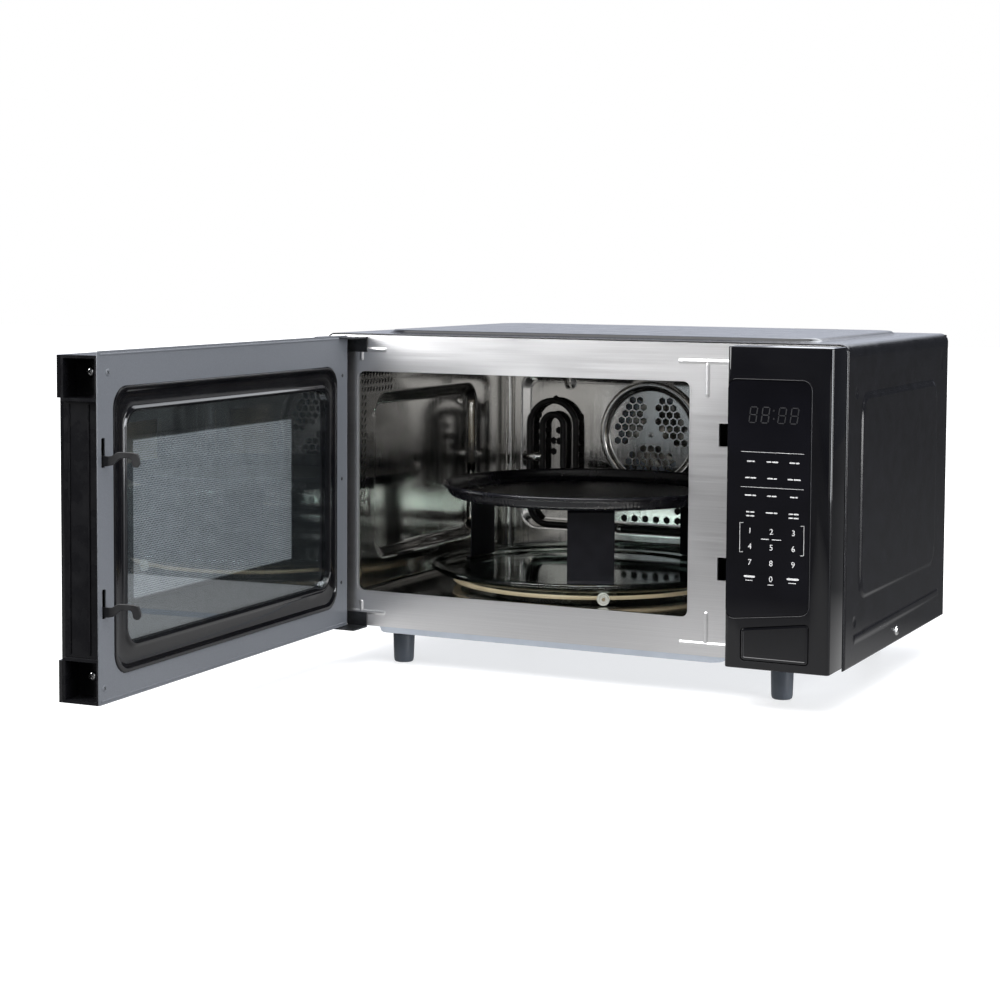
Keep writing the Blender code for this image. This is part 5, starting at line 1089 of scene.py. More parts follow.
def make_cavity_walls():
    """Sides, ceiling and floor of the cavity, as one sheet that curves round the corners."""
    corner = OPENING_CORNER
    left, right, floor, top = CAVITY_LEFT, CAVITY_RIGHT, CAVITY_FLOOR, CAVITY_TOP
    heights = spaced(floor + corner, top - corner, (0.095, 0.107, 0.248, 0.260), 0.0014, 0.012)
    widths = spaced(left + corner, right - corner, (-0.180, 0.070), 0.0016, 0.010, 0.006)
    rows = spaced(CAVITY_FRONT, CAVITY_BACK - FILLET, (0.033, 0.045, 0.243, 0.255), 0.0014, 0.012, 0.006)
    profile = [(left, z, -1, 0, "left") for z in heights]
    profile += turn_points((left + corner, top - corner), corner, 180, 90)
    profile += [(x, top, 0, 1, "top") for x in widths]
    profile += turn_points((right - corner, top - corner), corner, 90, 0)
    profile += [(right, z, 1, 0, "right") for z in heights[::-1]]
    profile += turn_points((right - corner, floor + corner), corner, 0, -90)
    profile += [(x, floor, 0, -1, "floor") for x in widths[::-1]]
    profile += turn_points((left + corner, floor + corner), corner, -90, -180)
    fillet = [math.pi / 2 * step / 6 for step in range(1, 7)]
    points = np.zeros((len(profile), len(rows) + len(fillet), 3))
    for index, (x, z, out_x, out_z, part) in enumerate(profile):
        rise = np.zeros(len(rows))
        if part == "left":
            rise = 0.0066 * pressed(LEFT_PANEL, rows, z, 0.012)
            for spot in ((0.033, 0.241), (0.232, 0.243), (0.020, 0.150)):
                rise += 0.0008 * bead(np.hypot(rows - spot[0], z - spot[1]), 0.0035)
        elif part == "top":
            rise = 0.0020 * pressed(CEILING_PANEL, x, rows, 0.010)
        elif part == "floor":
            span = np.hypot(x - CAVITY_X, rows - TRAY_Y)
            rise = 0.0005 * bead(span - FLOOR_TRACK, 0.008) - 0.0010 * bead(span - 0.060, 0.004)
        points[index, : len(rows), 0] = x + out_x * rise
        points[index, : len(rows), 1] = rows
        points[index, : len(rows), 2] = z + out_z * rise
        for step, angle in enumerate(fillet):
            inset = FILLET * (1 - math.cos(angle))
            points[index, len(rows) + step, 0] = x - out_x * inset
            points[index, len(rows) + step, 1] = CAVITY_BACK - FILLET + FILLET * math.sin(angle)
            points[index, len(rows) + step, 2] = z - out_z * inset
    points = np.concatenate([points, points[:1]], axis=0)
    walls = Shape().grid(points).mesh("cavity_walls", 60, weld=1e-6)
    made = piece("cavity_walls", walls, "cavity_steel", stands_for=("cavity_liner",))
    thicken(made, 0.0006, outward_offset(made, Vector((0, 0.15, 0.17))))
    holes = Shape()
    for row, z in enumerate((0.2790, 0.2715, 0.2640)):
        for column in range(11):
            holes.prism(
                slot_ring(0.0080 + 0.0058 * column, z, 0.0058, 0.0023, math.radians(58)),
                left - 0.004,
                left + 0.002,
                "X",
            )
    for row in range(15):
        for column in range(2):
            z = 0.2565 - 0.0072 * row
            holes.prism(
                slot_ring(0.0080 + 0.0060 * column, z, 0.0058, 0.0023, math.radians(58)),
                left - 0.004,
                left + 0.002,
                "X",
            )
    lamp = Shape()
    for row in range(7):
        for column in range(9):
            y = 0.080 + 0.0055 * column + 0.00275 * (row % 2)
            lamp.prism(
                slot_ring(y, 0.2450 + 0.0048 * row, 0.0028, 0.0027, 0), right - 0.002, right + 0.004, "X"
            )
    holes.add(lamp.points, lamp.faces)
    subtract(made, holes)


def outward_offset(made, middle):
    """1 or -1, so that Solidify thickens a sheet away from its middle."""
    data = made.data
    total = 0.0
    for face in list(data.polygons)[:: max(1, len(data.polygons) // 400)]:
        total += 1 if (face.center - middle).dot(face.normal) > 0 else -1
    return 1.0 if total > 0 else -1.0


def heater_holes():
    """Hexagonal holes of the rear wall: two columns and a cluster at the arch, and rows by the low run."""
    places = []
    for row in range(6):
        z = 0.2210 - 0.0118 * row
        places += [(-0.1875, z), (-0.1370, z)]
        if row in (1, 2):
            places += [(-0.1756, z - 0.0040), (-0.1631, z - 0.0040), (-0.1694, z - 0.0155)]
    places += [(-0.1820, 0.2330), (-0.1668, 0.2395), (-0.1500, 0.2320)]
    places += [(-0.0853 + 0.0123 * step, 0.1137) for step in range(15)]
    places += [(-0.0238 + 0.0123 * step, 0.1243) for step in range(10)]
    return places


def make_back_wall():
    """Rear wall: a wide pressed panel, the mouth of the hot-air fan and rows of hexagonal holes."""
    left, right = CAVITY_LEFT + FILLET, CAVITY_RIGHT - FILLET
    low, high = CAVITY_FLOOR + FILLET, CAVITY_TOP - FILLET
    across = spaced(left, right, (-0.2075, -0.1955, -0.150, 0.088, 0.100), 0.0013, 0.013, 0.005)
    up = spaced(low, high, (0.0965, 0.1085, 0.258, 0.270), 0.0013, 0.013, 0.005)
    x, z = np.meshgrid(across, up, indexing="ij")
    y = CAVITY_BACK + 0.0045 * pressed(BACK_PANEL, x, z, 0.0125) - 0.0045
    for spot in ((-0.1500, 0.2580), (0.0400, 0.2580)):
        y -= 0.0016 * bead(np.hypot(x - spot[0], z - spot[1]), 0.0060)
    edge = np.minimum(np.minimum(x - left, right - x), np.minimum(z - low, high - z))
    y += 0.0045 * (1 - eased(edge / 0.0060))
    sheet = Shape().grid(np.stack([x, y, z], axis=-1)).mesh("cavity_back", 60)
    made = piece("cavity_back", sheet, "cavity_steel")
    thicken(made, 0.0006, 1.0 if sheet.polygons[0].normal.y > 0 else -1.0)
    holes = Shape()
    holes.prism(
        [
            (CAVITY_X + 0.0485 * math.cos(a), FAN_Z + 0.0485 * math.sin(a))
            for a in np.linspace(0, 2 * math.pi, 64, False)
        ],
        CAVITY_BACK - 0.02,
        CAVITY_BACK + 0.01,
    )
    for u, v in heater_holes():
        holes.prism(hexagon(u, v, 0.0072, 30), CAVITY_BACK - 0.02, CAVITY_BACK + 0.01)
    subtract(made, holes)
    # A dark sheet behind the rear wall, seen through its holes: painted shade for the space behind the wall, with
    # the fan's mouth left open.
    dark = rectangle((-0.2050, 0.105), (0.0980, 0.265), 0.01)
    mouth = [
        (CAVITY_X + 0.064 * math.cos(a), FAN_Z + 0.064 * math.sin(a))
        for a in np.linspace(0, 2 * math.pi, 48, False)
    ]
    piece(
        "rear_duct_painted_shade",
        flat_plate(
            "rear_duct_painted_shade", [dark.ring(), mouth[::-1]], CAVITY_BACK + 0.0020, CAVITY_BACK + 0.0024
        ),
        "painted_hole_shade",
    )


def make_grille():
    """Dished cover over the fan: a bead round a flat disc with three sectors of hexagonal holes."""
    face = CAVITY_BACK - 0.0003
    profile = [
        (0.0590, 0.0000),
        (0.0588, 0.0010),
        (0.0574, 0.0046),
        (0.0550, 0.0060),
        (0.0520, 0.0058),
        (0.0500, 0.0040),
        (0.0485, 0.0016),
        (0.0474, 0.0010),
        (0.0462, 0.0010),
    ]
    ring = Shape().turned(rounded_profile(profile, 2), (CAVITY_X, face, FAN_Z), (0, -1, 0), 96)
    # the bead's lighter steel is painted highlight
    made = piece("grille_bead", ring.mesh("grille_bead", 60), "painted_highlight_steel", stands_for=("fan_grille",))
    thicken(made, 0.0005, outward_offset(made, Vector((CAVITY_X, face - 0.2, FAN_Z))))
    pitch = 0.0085
    rings = [
        [
            (CAVITY_X + 0.0466 * math.cos(a), FAN_Z + 0.0466 * math.sin(a))
            for a in np.linspace(0, 2 * math.pi, 96, False)
        ]
    ]
    for row in range(-6, 7):
        for column in range(-7, 8):
            x = pitch * (column + 0.5 * (row % 2))
            z = pitch * math.sqrt(3) / 2 * row
            span = math.hypot(x, z)
            angle = math.degrees(math.atan2(z, x)) % 360
            spoke = min(abs((angle - way + 180) % 360 - 180) for way in (90, 210, 330))
            clear = span * math.sin(math.radians(min(spoke, 90)))
            if 0.0105 < span < 0.0425 and clear > 0.0046:
                rings.append(hexagon(CAVITY_X + x, FAN_Z + z, 0.0070, 30)[::-1])
    disc = flat_plate("grille_disc", rings, face - 0.0012, face - 0.0006)
    piece("grille_disc", disc, "cavity_steel")
    make_screw("grille_screw", (CAVITY_X, face - 0.0012, FAN_Z), (0, -1, 0), 0.0030, 0.0012)


def make_hot_air_fan():
    """Impeller with bent blades, seen through the grille."""
    low, high = oven_box("convection_fan")
    shape = Shape()
    disc_y = low.y + 0.0125
    shape.turned(
        [(0.0, disc_y), (0.0350, disc_y), (0.0352, disc_y + 0.0006), (0.0, disc_y + 0.0006)],
        (CAVITY_X, 0, FAN_Z),
        (0, 1, 0),
        64,
    )
    for blade in range(12):
        angle = 2 * math.pi * blade / 12
        rows = []
        for step in range(9):
            share = step / 8
            radius = 0.014 + 0.0298 * share
            way = angle + 0.5 * share ** 1.5
            x, z = CAVITY_X + radius * math.cos(way), FAN_Z + radius * math.sin(way)
            rows.append([(x, low.y + 0.0004 + 0.0012 * (1 - share), z), (x, disc_y, z)])
        shape.grid(np.array(rows))
    made = piece(
        "fan_wheel", shape.mesh("fan_wheel", 40, weld=1e-6), "fan_steel", "hot_air_fan", ("convection_fan",)
    )
    thicken(made, 0.0004, 0.0)
    hub = [
        (0, -0.0005), (0.0040, 0.0), (0.0046, 0.0010), (0.0046, 0.0060), (0.0120, 0.0090), (0.0130, 0.0125)
    ]
    piece(
        "fan_hub",
        Shape().turned(
            [(r, low.y + 0.0005 + h) for r, h in rounded_profile(hub, 1)],
            (CAVITY_X, 0, FAN_Z),
            (0, 1, 0),
            48,
        ).mesh("fan_hub"),
        "fan_steel",
        "hot_air_fan",
    )


def arc_points(centre, radius, start, end, steps):
    return [
        (
            centre[0] + radius * math.cos(math.radians(start + (end - start) * step / steps)),
            centre[1] + radius * math.sin(math.radians(start + (end - start) * step / steps)),
        )
        for step in range(steps + 1)
    ]


def make_heater():
    """Tubular element: a low run, then a double hairpin arch in front of the rear wall."""
    y = CAVITY_BACK - 0.0080
    centre = (-0.1668, 0.2107)
    outer, inner = 0.0273, 0.0123
    low_z, bend, turn_z = 0.1026, 0.0220, 0.1450
    flat = arc_points((centre[0] - outer + bend, low_z + bend), bend, 270, 180, 12)
    flat += arc_points(centre, outer, 180, 0, 28)
    flat += arc_points((centre[0] + (outer + inner) / 2, turn_z), (outer - inner) / 2, 0, -180, 14)
    flat += arc_points(centre, inner, 0, 180, 18)
    points = [
        (0.0850, CAVITY_BACK + 0.010, low_z),
        (0.0850, y + 0.0030, low_z),
        (0.0840, y + 0.0008, low_z),
        (0.0820, y, low_z),
    ]
    points += [(x, y, z) for x, z in flat]
    end_x = centre[0] - inner
    points += [
        (end_x, y, turn_z + 0.0030),
        (end_x, y + 0.0008, turn_z + 0.0010),
        (end_x, y + 0.0030, turn_z),
        (end_x, CAVITY_BACK + 0.010, turn_z),
    ]
    tube("heater_tube", points, 0.0033, "heater_black", stands_for=("heater_element",))
    clip = Shape()
    for x0, x1, z in ((-0.2010, -0.1790, 0.1761), (-0.0900, -0.0840, 0.1026)):
        rows = []
        for place in (x0, x1):
            row = []
            for step in range(9):
                angle = math.radians(-110 + 220 * step / 8)
                row.append((place, y - 0.0040 * math.cos(angle), z + 0.0045 * math.sin(angle)))
            rows.append(row)
        clip.grid(np.array(rows))
    made = piece("heater_clips", clip.mesh("heater_clips", 60), "rivet_steel")
    thicken(made, 0.0005, 0.0)


# ---- tray, rollers and pan ----
def make_tray():
    """Glass turntable: a flat floor, a step and a rounded raised rim."""
    rim = (TRAY_HIGH.x - TRAY_LOW.x) / 2
    base = TRAY_LOW.z
    high = TRAY_HIGH.z - TRAY_LOW.z
    top = [
        (0, 0.0035),
        (rim * 0.725, 0.0035),
        (rim * 0.740, 0.0037),
        (rim * 0.757, 0.0053),
        (rim * 0.775, 0.0056),
        (rim * 0.900, 0.0056),
        (rim * 0.940, 0.0062),
        (rim - 0.0055, high - 0.0006),
        (rim - 0.0030, high),
        (rim - 0.0004, high - 0.0008),
        (rim, high - 0.0030),
        (rim - 0.0022, high - 0.0050),
        (rim * 0.955, 0.0016),
        (rim * 0.920, 0.0001),
        (rim * 0.80, 0.0),
        (0, 0.0),
    ]
    centre = (CAVITY_X, TRAY_Y, base)
    shape = Shape().turned(rounded_profile(top, 2), centre, (0, 0, 1), 160)
    piece(
        "turntable_glass",
        shape.mesh("turntable_glass", 70, weld=1e-6),
        "tray_glass",
        "tray",
        ("glass_tray",),
    )


def make_carrier():
    low, high = oven_box("roller_ring")
    centre = (CAVITY_X, TRAY_Y, (low.z + high.z) / 2)
    inner, outer, half = 0.1287, 0.1353, 0.0014
    band = [
        (inner, half * 0.6), (inner + 0.0006, half), (inner + 0.0022, half), (inner + 0.0028, half * 0.2),
        (outer - 0.0028, half * 0.2), (outer - 0.0022, half), (outer - 0.0006, half), (outer, half * 0.6),
        (outer, -half), (inner, -half), (inner, half * 0.6),
    ]
    shape = Shape().turned(band, centre, (0, 0, 1), 128)
    for index in range(3):
        angle = math.radians(-60.6 + 120 * index)
        way = Vector((math.cos(angle), math.sin(angle), 0))
        shape.turned([(0, 0.1300), (0.0013, 0.1302), (0.0013, 0.1437), (0, 0.1439)], centre, way, 20)
    piece(
        "roller_carrier",
        shape.mesh("roller_carrier", 40, weld=1e-6),
        "ring_plastic",
        "carrier",
        ("roller_ring",),
    )
    for index in range(3):
        name = f"roller_{index + 1}"
        angle = math.radians(-60.6 + 120 * index)
        way = Vector((math.cos(angle), math.sin(angle), 0))
        low, high = oven_box(name)
        middle = (low + high) / 2
        wheel = [
            (0.0018, 0.0024), (0.0036, 0.0024), (0.0040, 0.0016), (0.0048, 0.0016), (0.0052, 0.0024),
            (0.0057, 0.0022), (0.0060, 0.0014), (0.0060, -0.0014), (0.0057, -0.0022), (0.0052, -0.0024),
            (0.0048, -0.0016), (0.0040, -0.0016), (0.0036, -0.0024), (0.0018, -0.0024), (0.0018, 0.0024),
        ]
        shape = Shape().turned(wheel, middle, way, 40)
        piece(
            name + "_wheel",
            shape.mesh(name + "_wheel", 40, weld=1e-6),
            "roller_plastic",
            f"wheel_{index + 1}",
            (name,),
        )


PAN_RADIUS = 0.1465
PAN_FLOOR = 0.1330
RIB_COUNT = 240


def make_pan():
    """Crisper pan: a rolled rim, fine flutes round its side and a floor of small dimples."""
    base = oven_box("crisper_pan")[0].z
    centre = (CAVITY_X, TRAY_Y, base)
    deep = oven_box("crisper_pan")[1].z - base

    def flute(angle, radius, height):
        if PAN_FLOOR + 0.002 < radius < PAN_RADIUS - 0.0045:
            return 0.00016 * math.cos(RIB_COUNT * angle)
        return 0.0

    side = [
        (PAN_FLOOR - 0.004, 0.0012), (PAN_FLOOR, 0.0013), (PAN_FLOOR + 0.0030, 0.0020),
        (PAN_FLOOR + 0.0060, 0.0042), (PAN_FLOOR + 0.0072, 0.0070), (PAN_FLOOR + 0.0080, 0.0100),
        (PAN_RADIUS - 0.0050, deep - 0.0012), (PAN_RADIUS - 0.0036, deep - 0.0002),
        (PAN_RADIUS - 0.0016, deep), (PAN_RADIUS - 0.0002, deep - 0.0010),
        (PAN_RADIUS - 0.0004, deep - 0.0030), (PAN_RADIUS - 0.0022, deep - 0.0040),
        (PAN_RADIUS - 0.0036, deep - 0.0034), (PAN_FLOOR + 0.0088, 0.0080),
        (PAN_FLOOR + 0.0072, 0.0030), (PAN_FLOOR + 0.0040, 0.0006), (PAN_FLOOR, 0.0), (0, 0.0),
    ]
    shape = Shape().turned(rounded_profile(side, 1), centre, (0, 0, 1), RIB_COUNT * 4, flute)
    piece(
        "crisper_side",
        shape.mesh("crisper_side", 70, weld=1e-6),
        "pan_coating",
        "crisper",
        ("crisper_pan",),
    )
    radii = np.linspace(0.0, PAN_FLOOR - 0.0035, 130)
    angles = np.linspace(0, 2 * math.pi, 361)
    r, a = np.meshgrid(radii, angles, indexing="ij")
    x, y = r * np.cos(a), r * np.sin(a)
    pitch = 0.0052
    bumps = 0.0005 * np.clip(np.cos(2 * math.pi * x / pitch) * np.cos(2 * math.pi * y / pitch), 0, 1)
    fade = eased((PAN_FLOOR - 0.012 - r) / 0.006)
    z = 0.0013 + bumps * fade
    floor = Shape().grid(np.stack([centre[0] + x, centre[1] + y, centre[2] + z], axis=-1))
    piece("crisper_floor", floor.mesh("crisper_floor", 80, weld=1e-6), "pan_floor", "crisper")
    for leg in range(3):
        make_leg(leg, centre[2])


def make_leg(leg, top):
    """Flat leg of bent strip, held to the pan by two rivets."""
    name = f"pan_leg_{leg + 1}"
    angle = math.radians(-65.4 - 120 * leg)
    out = Vector((math.cos(angle), math.sin(angle), 0))
    along = Vector((-math.sin(angle), math.cos(angle), 0))
    foot = oven_box(name)[0].z
    inner = 0.1240 + 0.0009
    bend = 0.0022
    path = [(inner - 0.0065, top - 0.0012), (inner - bend, top - 0.0012)]
    path += [
        (inner - bend + bend * math.sin(t), top - 0.0012 - bend + bend * math.cos(t))
        for t in np.linspace(0.2, math.pi / 2, 6)
    ]
    path += [
        (inner + bend - bend * math.cos(t), foot + 0.0004 + bend - bend * math.sin(t))
        for t in np.linspace(0, math.pi / 2, 7)
    ]
    path += [(inner + 0.0060, foot + 0.0004)]
    rows = []
    for radius, z in path:
        foot = Vector((CAVITY_X, TRAY_Y, z)) + out * radius
        rows.append([tuple(foot + along * side) for side in (-0.0224, -0.0222, 0, 0.0222, 0.0224)])
    made = piece(
        name + "_strip",
        Shape().grid(np.array(rows)).mesh(name + "_strip", 60),
        "leg_coating",
        "crisper",
        (name,),
    )
    thicken(made, 0.0013, 0.0)
    soften(made, 0.0004, 2, 60)
    for side in (-0.0135, 0.0135):
        spot = Vector((CAVITY_X, TRAY_Y, top + 0.0014)) + out * (0.1240 - 0.0050) + along * side
        head = Shape().turned(
            [(0, 0.0011), (0.0016, 0.0010), (0.0027, 0.0006), (0.0032, 0.0), (0, 0.0)], spot, (0, 0, 1), 28
        )
        tag = "a" if side < 0 else "b"
        piece(
            f"pan_rivet_{leg + 1}{tag}",
            head.mesh(f"pan_rivet_{leg + 1}{tag}", weld=1e-6),
            "rivet_steel",
            "crisper",
        )


# ---- door ----
RING_OUT = rectangle((-0.2332, 0.0573), (0.1417, 0.2882), 0.0180, 12)
WINDOW = rectangle((-0.2185, 0.0800), (0.1230, 0.2670), 0.0150, 12)
SCREEN_LOW, SCREEN_HIGH = (-0.1625, 0.1130), (0.1010, 0.2447)


def make_door_sheet():
    """Painted inner sheet of the door, with the opening for the ring and the hooks' key-slots."""
    outer = rectangle((DOOR_LEFT, PANEL_LOW.z), (DOOR_RIGHT, PANEL_HIGH.z), 0.0015, 4)
    rings = [outer.ring(), RING_OUT.ring(0.0003)[::-1]]
    for z in (0.2326, 0.1128):
        slot = rectangle((0.1535, z - 0.0074), (0.1585, z + 0.0160), 0.0012, 3)
        rings.append(slot.ring()[::-1])
    sheet = flat_plate("door_inner_sheet", rings, DOOR_INNER_Y - 0.0010, DOOR_INNER_Y)
    made = piece("door_inner_sheet", sheet, "inner_paint", "door", ("door_inner_panel",))
    soften(made, 0.0003, 2, 50)
    fold = Shape()
    for z0, z1 in (
        (PANEL_HIGH.z - 0.0035, PANEL_HIGH.z - 0.0022), (PANEL_LOW.z + 0.0022, PANEL_LOW.z + 0.0035)
    ):
        rows = []
        for step in range(7):
            angle = math.pi * step / 6
            y = DOOR_INNER_Y + 0.0005 * math.sin(angle) - 0.0001
            z = (z0 + z1) / 2 + 0.0010 * math.cos(angle)
            rows.append([(x, y, z) for x in (DOOR_LEFT + 0.003, DOOR_RIGHT - 0.003)])
        fold.grid(np.array(rows))
    piece("door_sheet_folds", fold.mesh("door_sheet_folds", 60), "inner_paint", "door")
    # Three small dark domes by the hinge edge, coloured with the painted hole shade.
    dot_shade = Shape()
    for x, z in ((-0.2450, 0.2790), (-0.2430, 0.0800), (-0.2440, 0.1800)):
        dot_shade.turned([(0, 0.0004), (0.0014, 0.0003), (0.0020, -0.0002)], (x, DOOR_INNER_Y, z), (0, 1, 0), 20)
    piece("door_sheet_dot_shade", dot_shade.mesh("door_sheet_dot_shade"), "painted_hole_shade", "door")
    for index, (x, z) in enumerate(((0.1490, 0.3000), (0.1560, 0.0500))):
        make_screw(
            f"door_sheet_screw_{index}",
            (x, DOOR_INNER_Y, z),
            (0, 1, 0),
            0.0030,
            0.0006,
            "door",
            finish="inner_paint",
        )


def make_choke_ring():
    """Gloss ring round the window with a raised bead along each edge."""
    outer = RING_OUT.ring()
    window = WINDOW.ring()
    face = DOOR_INNER_Y + 0.0010
    profile = [
        (0.000, -0.0100), (0.000, -0.0006), (0.020, -0.0001), (0.060, 0.0),
        (0.130, 0.0), (0.170, -0.0003), (0.210, -0.0013),
        (0.300, -0.0018), (0.760, -0.0018), (0.830, -0.0013), (0.870, -0.0003),
        (0.900, 0.0), (0.950, 0.0), (0.980, -0.0004),
        (1.000, -0.0014), (1.000, -0.0090),
    ]
    rings = []
    for share, level in profile:
        flat = [(a[0] + (b[0] - a[0]) * share, a[1] + (b[1] - a[1]) * share) for a, b in zip(outer, window)]
        rings.append(lift(flat, face + level))
    ring = Shape().loft(rings).mesh("door_ring", 35)
    piece("door_ring", ring, "ring_gloss", "door", ("door_choke_ring",))


def make_screen():
    """Perforated sheet behind the glass: a hexagonal lattice of real holes inside a plain border."""
    low, high = oven_screen_levels()
    pitch = 0.0021
    hole = pitch * 0.64 / 2
    columns = int((SCREEN_HIGH[0] - SCREEN_LOW[0]) / pitch)
    rows = int((SCREEN_HIGH[1] - SCREEN_LOW[1]) / (pitch * math.sqrt(3) / 2))
    cell = pitch / math.sqrt(3)
    angles = np.radians(30 + 60 * np.arange(6))
    column, row = np.meshgrid(np.arange(columns), np.arange(rows), indexing="ij")
    x = (SCREEN_LOW[0] + pitch * (column + 0.5 * (row % 2))).ravel()
    z = (SCREEN_LOW[1] + pitch * math.sqrt(3) / 2 * row).ravel()
    outer = np.stack(
        [
            x[:, None] + cell * np.cos(angles),
            np.full((len(x), 6), high),
            z[:, None] + cell * np.sin(angles),
        ],
        -1,
    )
    inner = np.stack(
        [
            x[:, None] + hole * np.cos(angles),
            np.full((len(x), 6), high),
            z[:, None] + hole * np.sin(angles),
        ],
        -1,
    )
    points = np.concatenate([outer, inner], axis=1).reshape(-1, 3)
    base = 12 * np.arange(len(x))[:, None, None]
    side = np.arange(6)
    quads = np.stack([side, (side + 1) % 6, 6 + (side + 1) % 6, 6 + side], -1)
    faces = (base + quads[None]).reshape(-1, 4)
    data = bpy.data.meshes.new("screen_mesh")
    data.from_pydata(points.tolist(), [], faces.tolist())
    tidy = bmesh.new()
    tidy.from_mesh(data)
    bmesh.ops.remove_doubles(tidy, verts=tidy.verts, dist=2e-5)
    bmesh.ops.recalc_face_normals(tidy, faces=tidy.faces)
    tidy.to_mesh(data)
    tidy.free()
    piece("screen_mesh", data, "screen_steel", "door", ("door_screen",))
    right = SCREEN_LOW[0] + pitch * (columns - 0.5)
    top = SCREEN_LOW[1] + pitch * math.sqrt(3) / 2 * (rows - 1)
    border = rectangle((-0.2325, 0.0580), (0.1410, 0.2875), 0.0170)
    area = rectangle(
        (SCREEN_LOW[0] - 0.0002, SCREEN_LOW[1] - 0.0002), (right + 0.0002, top + 0.0002), 0.0003, 2
    )
    rings = [border.ring(), area.ring()[::-1]]
    for index in range(56):
        u = SCREEN_LOW[0] - 0.0030 + 0.0047 * index
        for v in (SCREEN_LOW[1] - 0.0042, top + 0.0042):
            rings.append(slot_ring(u, v, 0.00131, 0.0013, 0)[::-1])
    for index in range(28):
        rings.append(
            slot_ring(
                SCREEN_LOW[0] - 0.0045, SCREEN_LOW[1] + 0.0047 * index + 0.001, 0.00131, 0.0013, 0
            )[::-1]
        )
    plate = flat_plate("screen_border", rings, low, high)
    piece("screen_border", plate, "screen_plain", "door")


def oven_screen_levels():
    front = DOOR_INNER_Y + 0.0010 - 0.0105 - 0.0003
    return front - 0.0008, front


def make_latch():
    """Sliding bar with two hooks that reach out through the inner sheet."""
    half = 0.0010
    x = 0.1560
    face = DOOR_INNER_Y
    shape = Shape()
    for z in (0.2326, 0.1128):
        outline = [
            (
                face - 0.0100, z - 0.0060
            ), (face + 0.0040, z - 0.0060), (face + 0.0085, z - 0.0050), (face + 0.0125, z - 0.0020),
            (
                face + 0.0160, z + 0.0004
            ), (face + 0.0200, z + 0.0012), (face + 0.0250, z + 0.0010), (face + 0.0266, z - 0.0008),
            (
                face + 0.0276, z - 0.0048
            ), (face + 0.0300, z - 0.0060), (face + 0.0326, z - 0.0056), (face + 0.0343, z - 0.0030),
            (
                face + 0.0340, z + 0.0010
            ), (face + 0.0322, z + 0.0048), (face + 0.0280, z + 0.0058), (face + 0.0200, z + 0.0059),
            (
                face + 0.0140, z + 0.0057
            ), (face + 0.0105, z + 0.0040), (face + 0.0080, z + 0.0024), (face + 0.0050, z + 0.0020),
            (face - 0.0100, z + 0.0020),
        ]
        shape.loft(
            [[(x - half, y, w) for y, w in outline], [(x + half, y, w) for y, w in outline]], capped=True
        )
    bar = Shape().block((x - half, face - 0.0200, 0.1010), (x + half, face - 0.0085, 0.2445))
    shape.add(bar.points, bar.faces)
    made = piece("latch_hooks", shape.mesh("latch_hooks", 30), "latch_plastic", "latch", ("door_latch",))
    soften(made, 0.00035, 2, 50)


def make_door_edges():
    """End pockets' screws and the lines along the door's free end."""
    for name, z in (("door_screw_upper", PANEL_HIGH.z - 0.0170), ("door_screw_lower", PANEL_LOW.z + 0.0195)):
        place = (0.1447, (-0.0404 + DOOR_INNER_Y) / 2, z)
        make_screw(name + "_head", place, (1, 0, 0), 0.0042, 0.0024, "door", (name,))
    rib = Shape()
    edge = DOOR_RIGHT - 0.0035
    for y in (-0.0315, -0.0130):
        rib.block((edge - 0.0001, y - 0.0008, 0.0760), (edge + 0.0008, y + 0.0008, 0.2750))
    made = piece("door_end_ribs", rib.mesh("door_end_ribs"), "door_plastic", "door")
    soften(made, 0.0003, 2)


def make_button_coil():
    """The spring behind the door button, built as a fixed coil at its rest length; nothing here shortens it when
    the button goes in.
    """
    low, high = oven_box("button_spring")
    wire = 0.0004
    turns = 6
    steps = 16 * turns
    length = high.y - low.y
    radius = (high.x - low.x) / 2 - wire
    middle = Vector(((low.x + high.x) / 2, 0, (low.z + high.z) / 2))
    rings = []
    for step in range(steps + 1):
        share = step / steps
        angle = 2 * math.pi * turns * share
        outward = Vector((math.cos(angle), 0, math.sin(angle)))
        along = low.y + wire + (length - 2 * wire) * share
        centre = middle + outward * radius + Vector((0, along, 0))
        ring = []
        for side in range(8):
            turn = math.pi * side / 4
            edge = outward * math.cos(turn) + Vector((0, math.sin(turn), 0))
            ring.append(tuple(centre + edge * wire))
        rings.append(ring)
    coil = Shape().loft(rings, capped=True).mesh("button_coil")
    made = piece("button_coil", coil, "screw_steel", stands_for=("button_spring",))
    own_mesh(made)


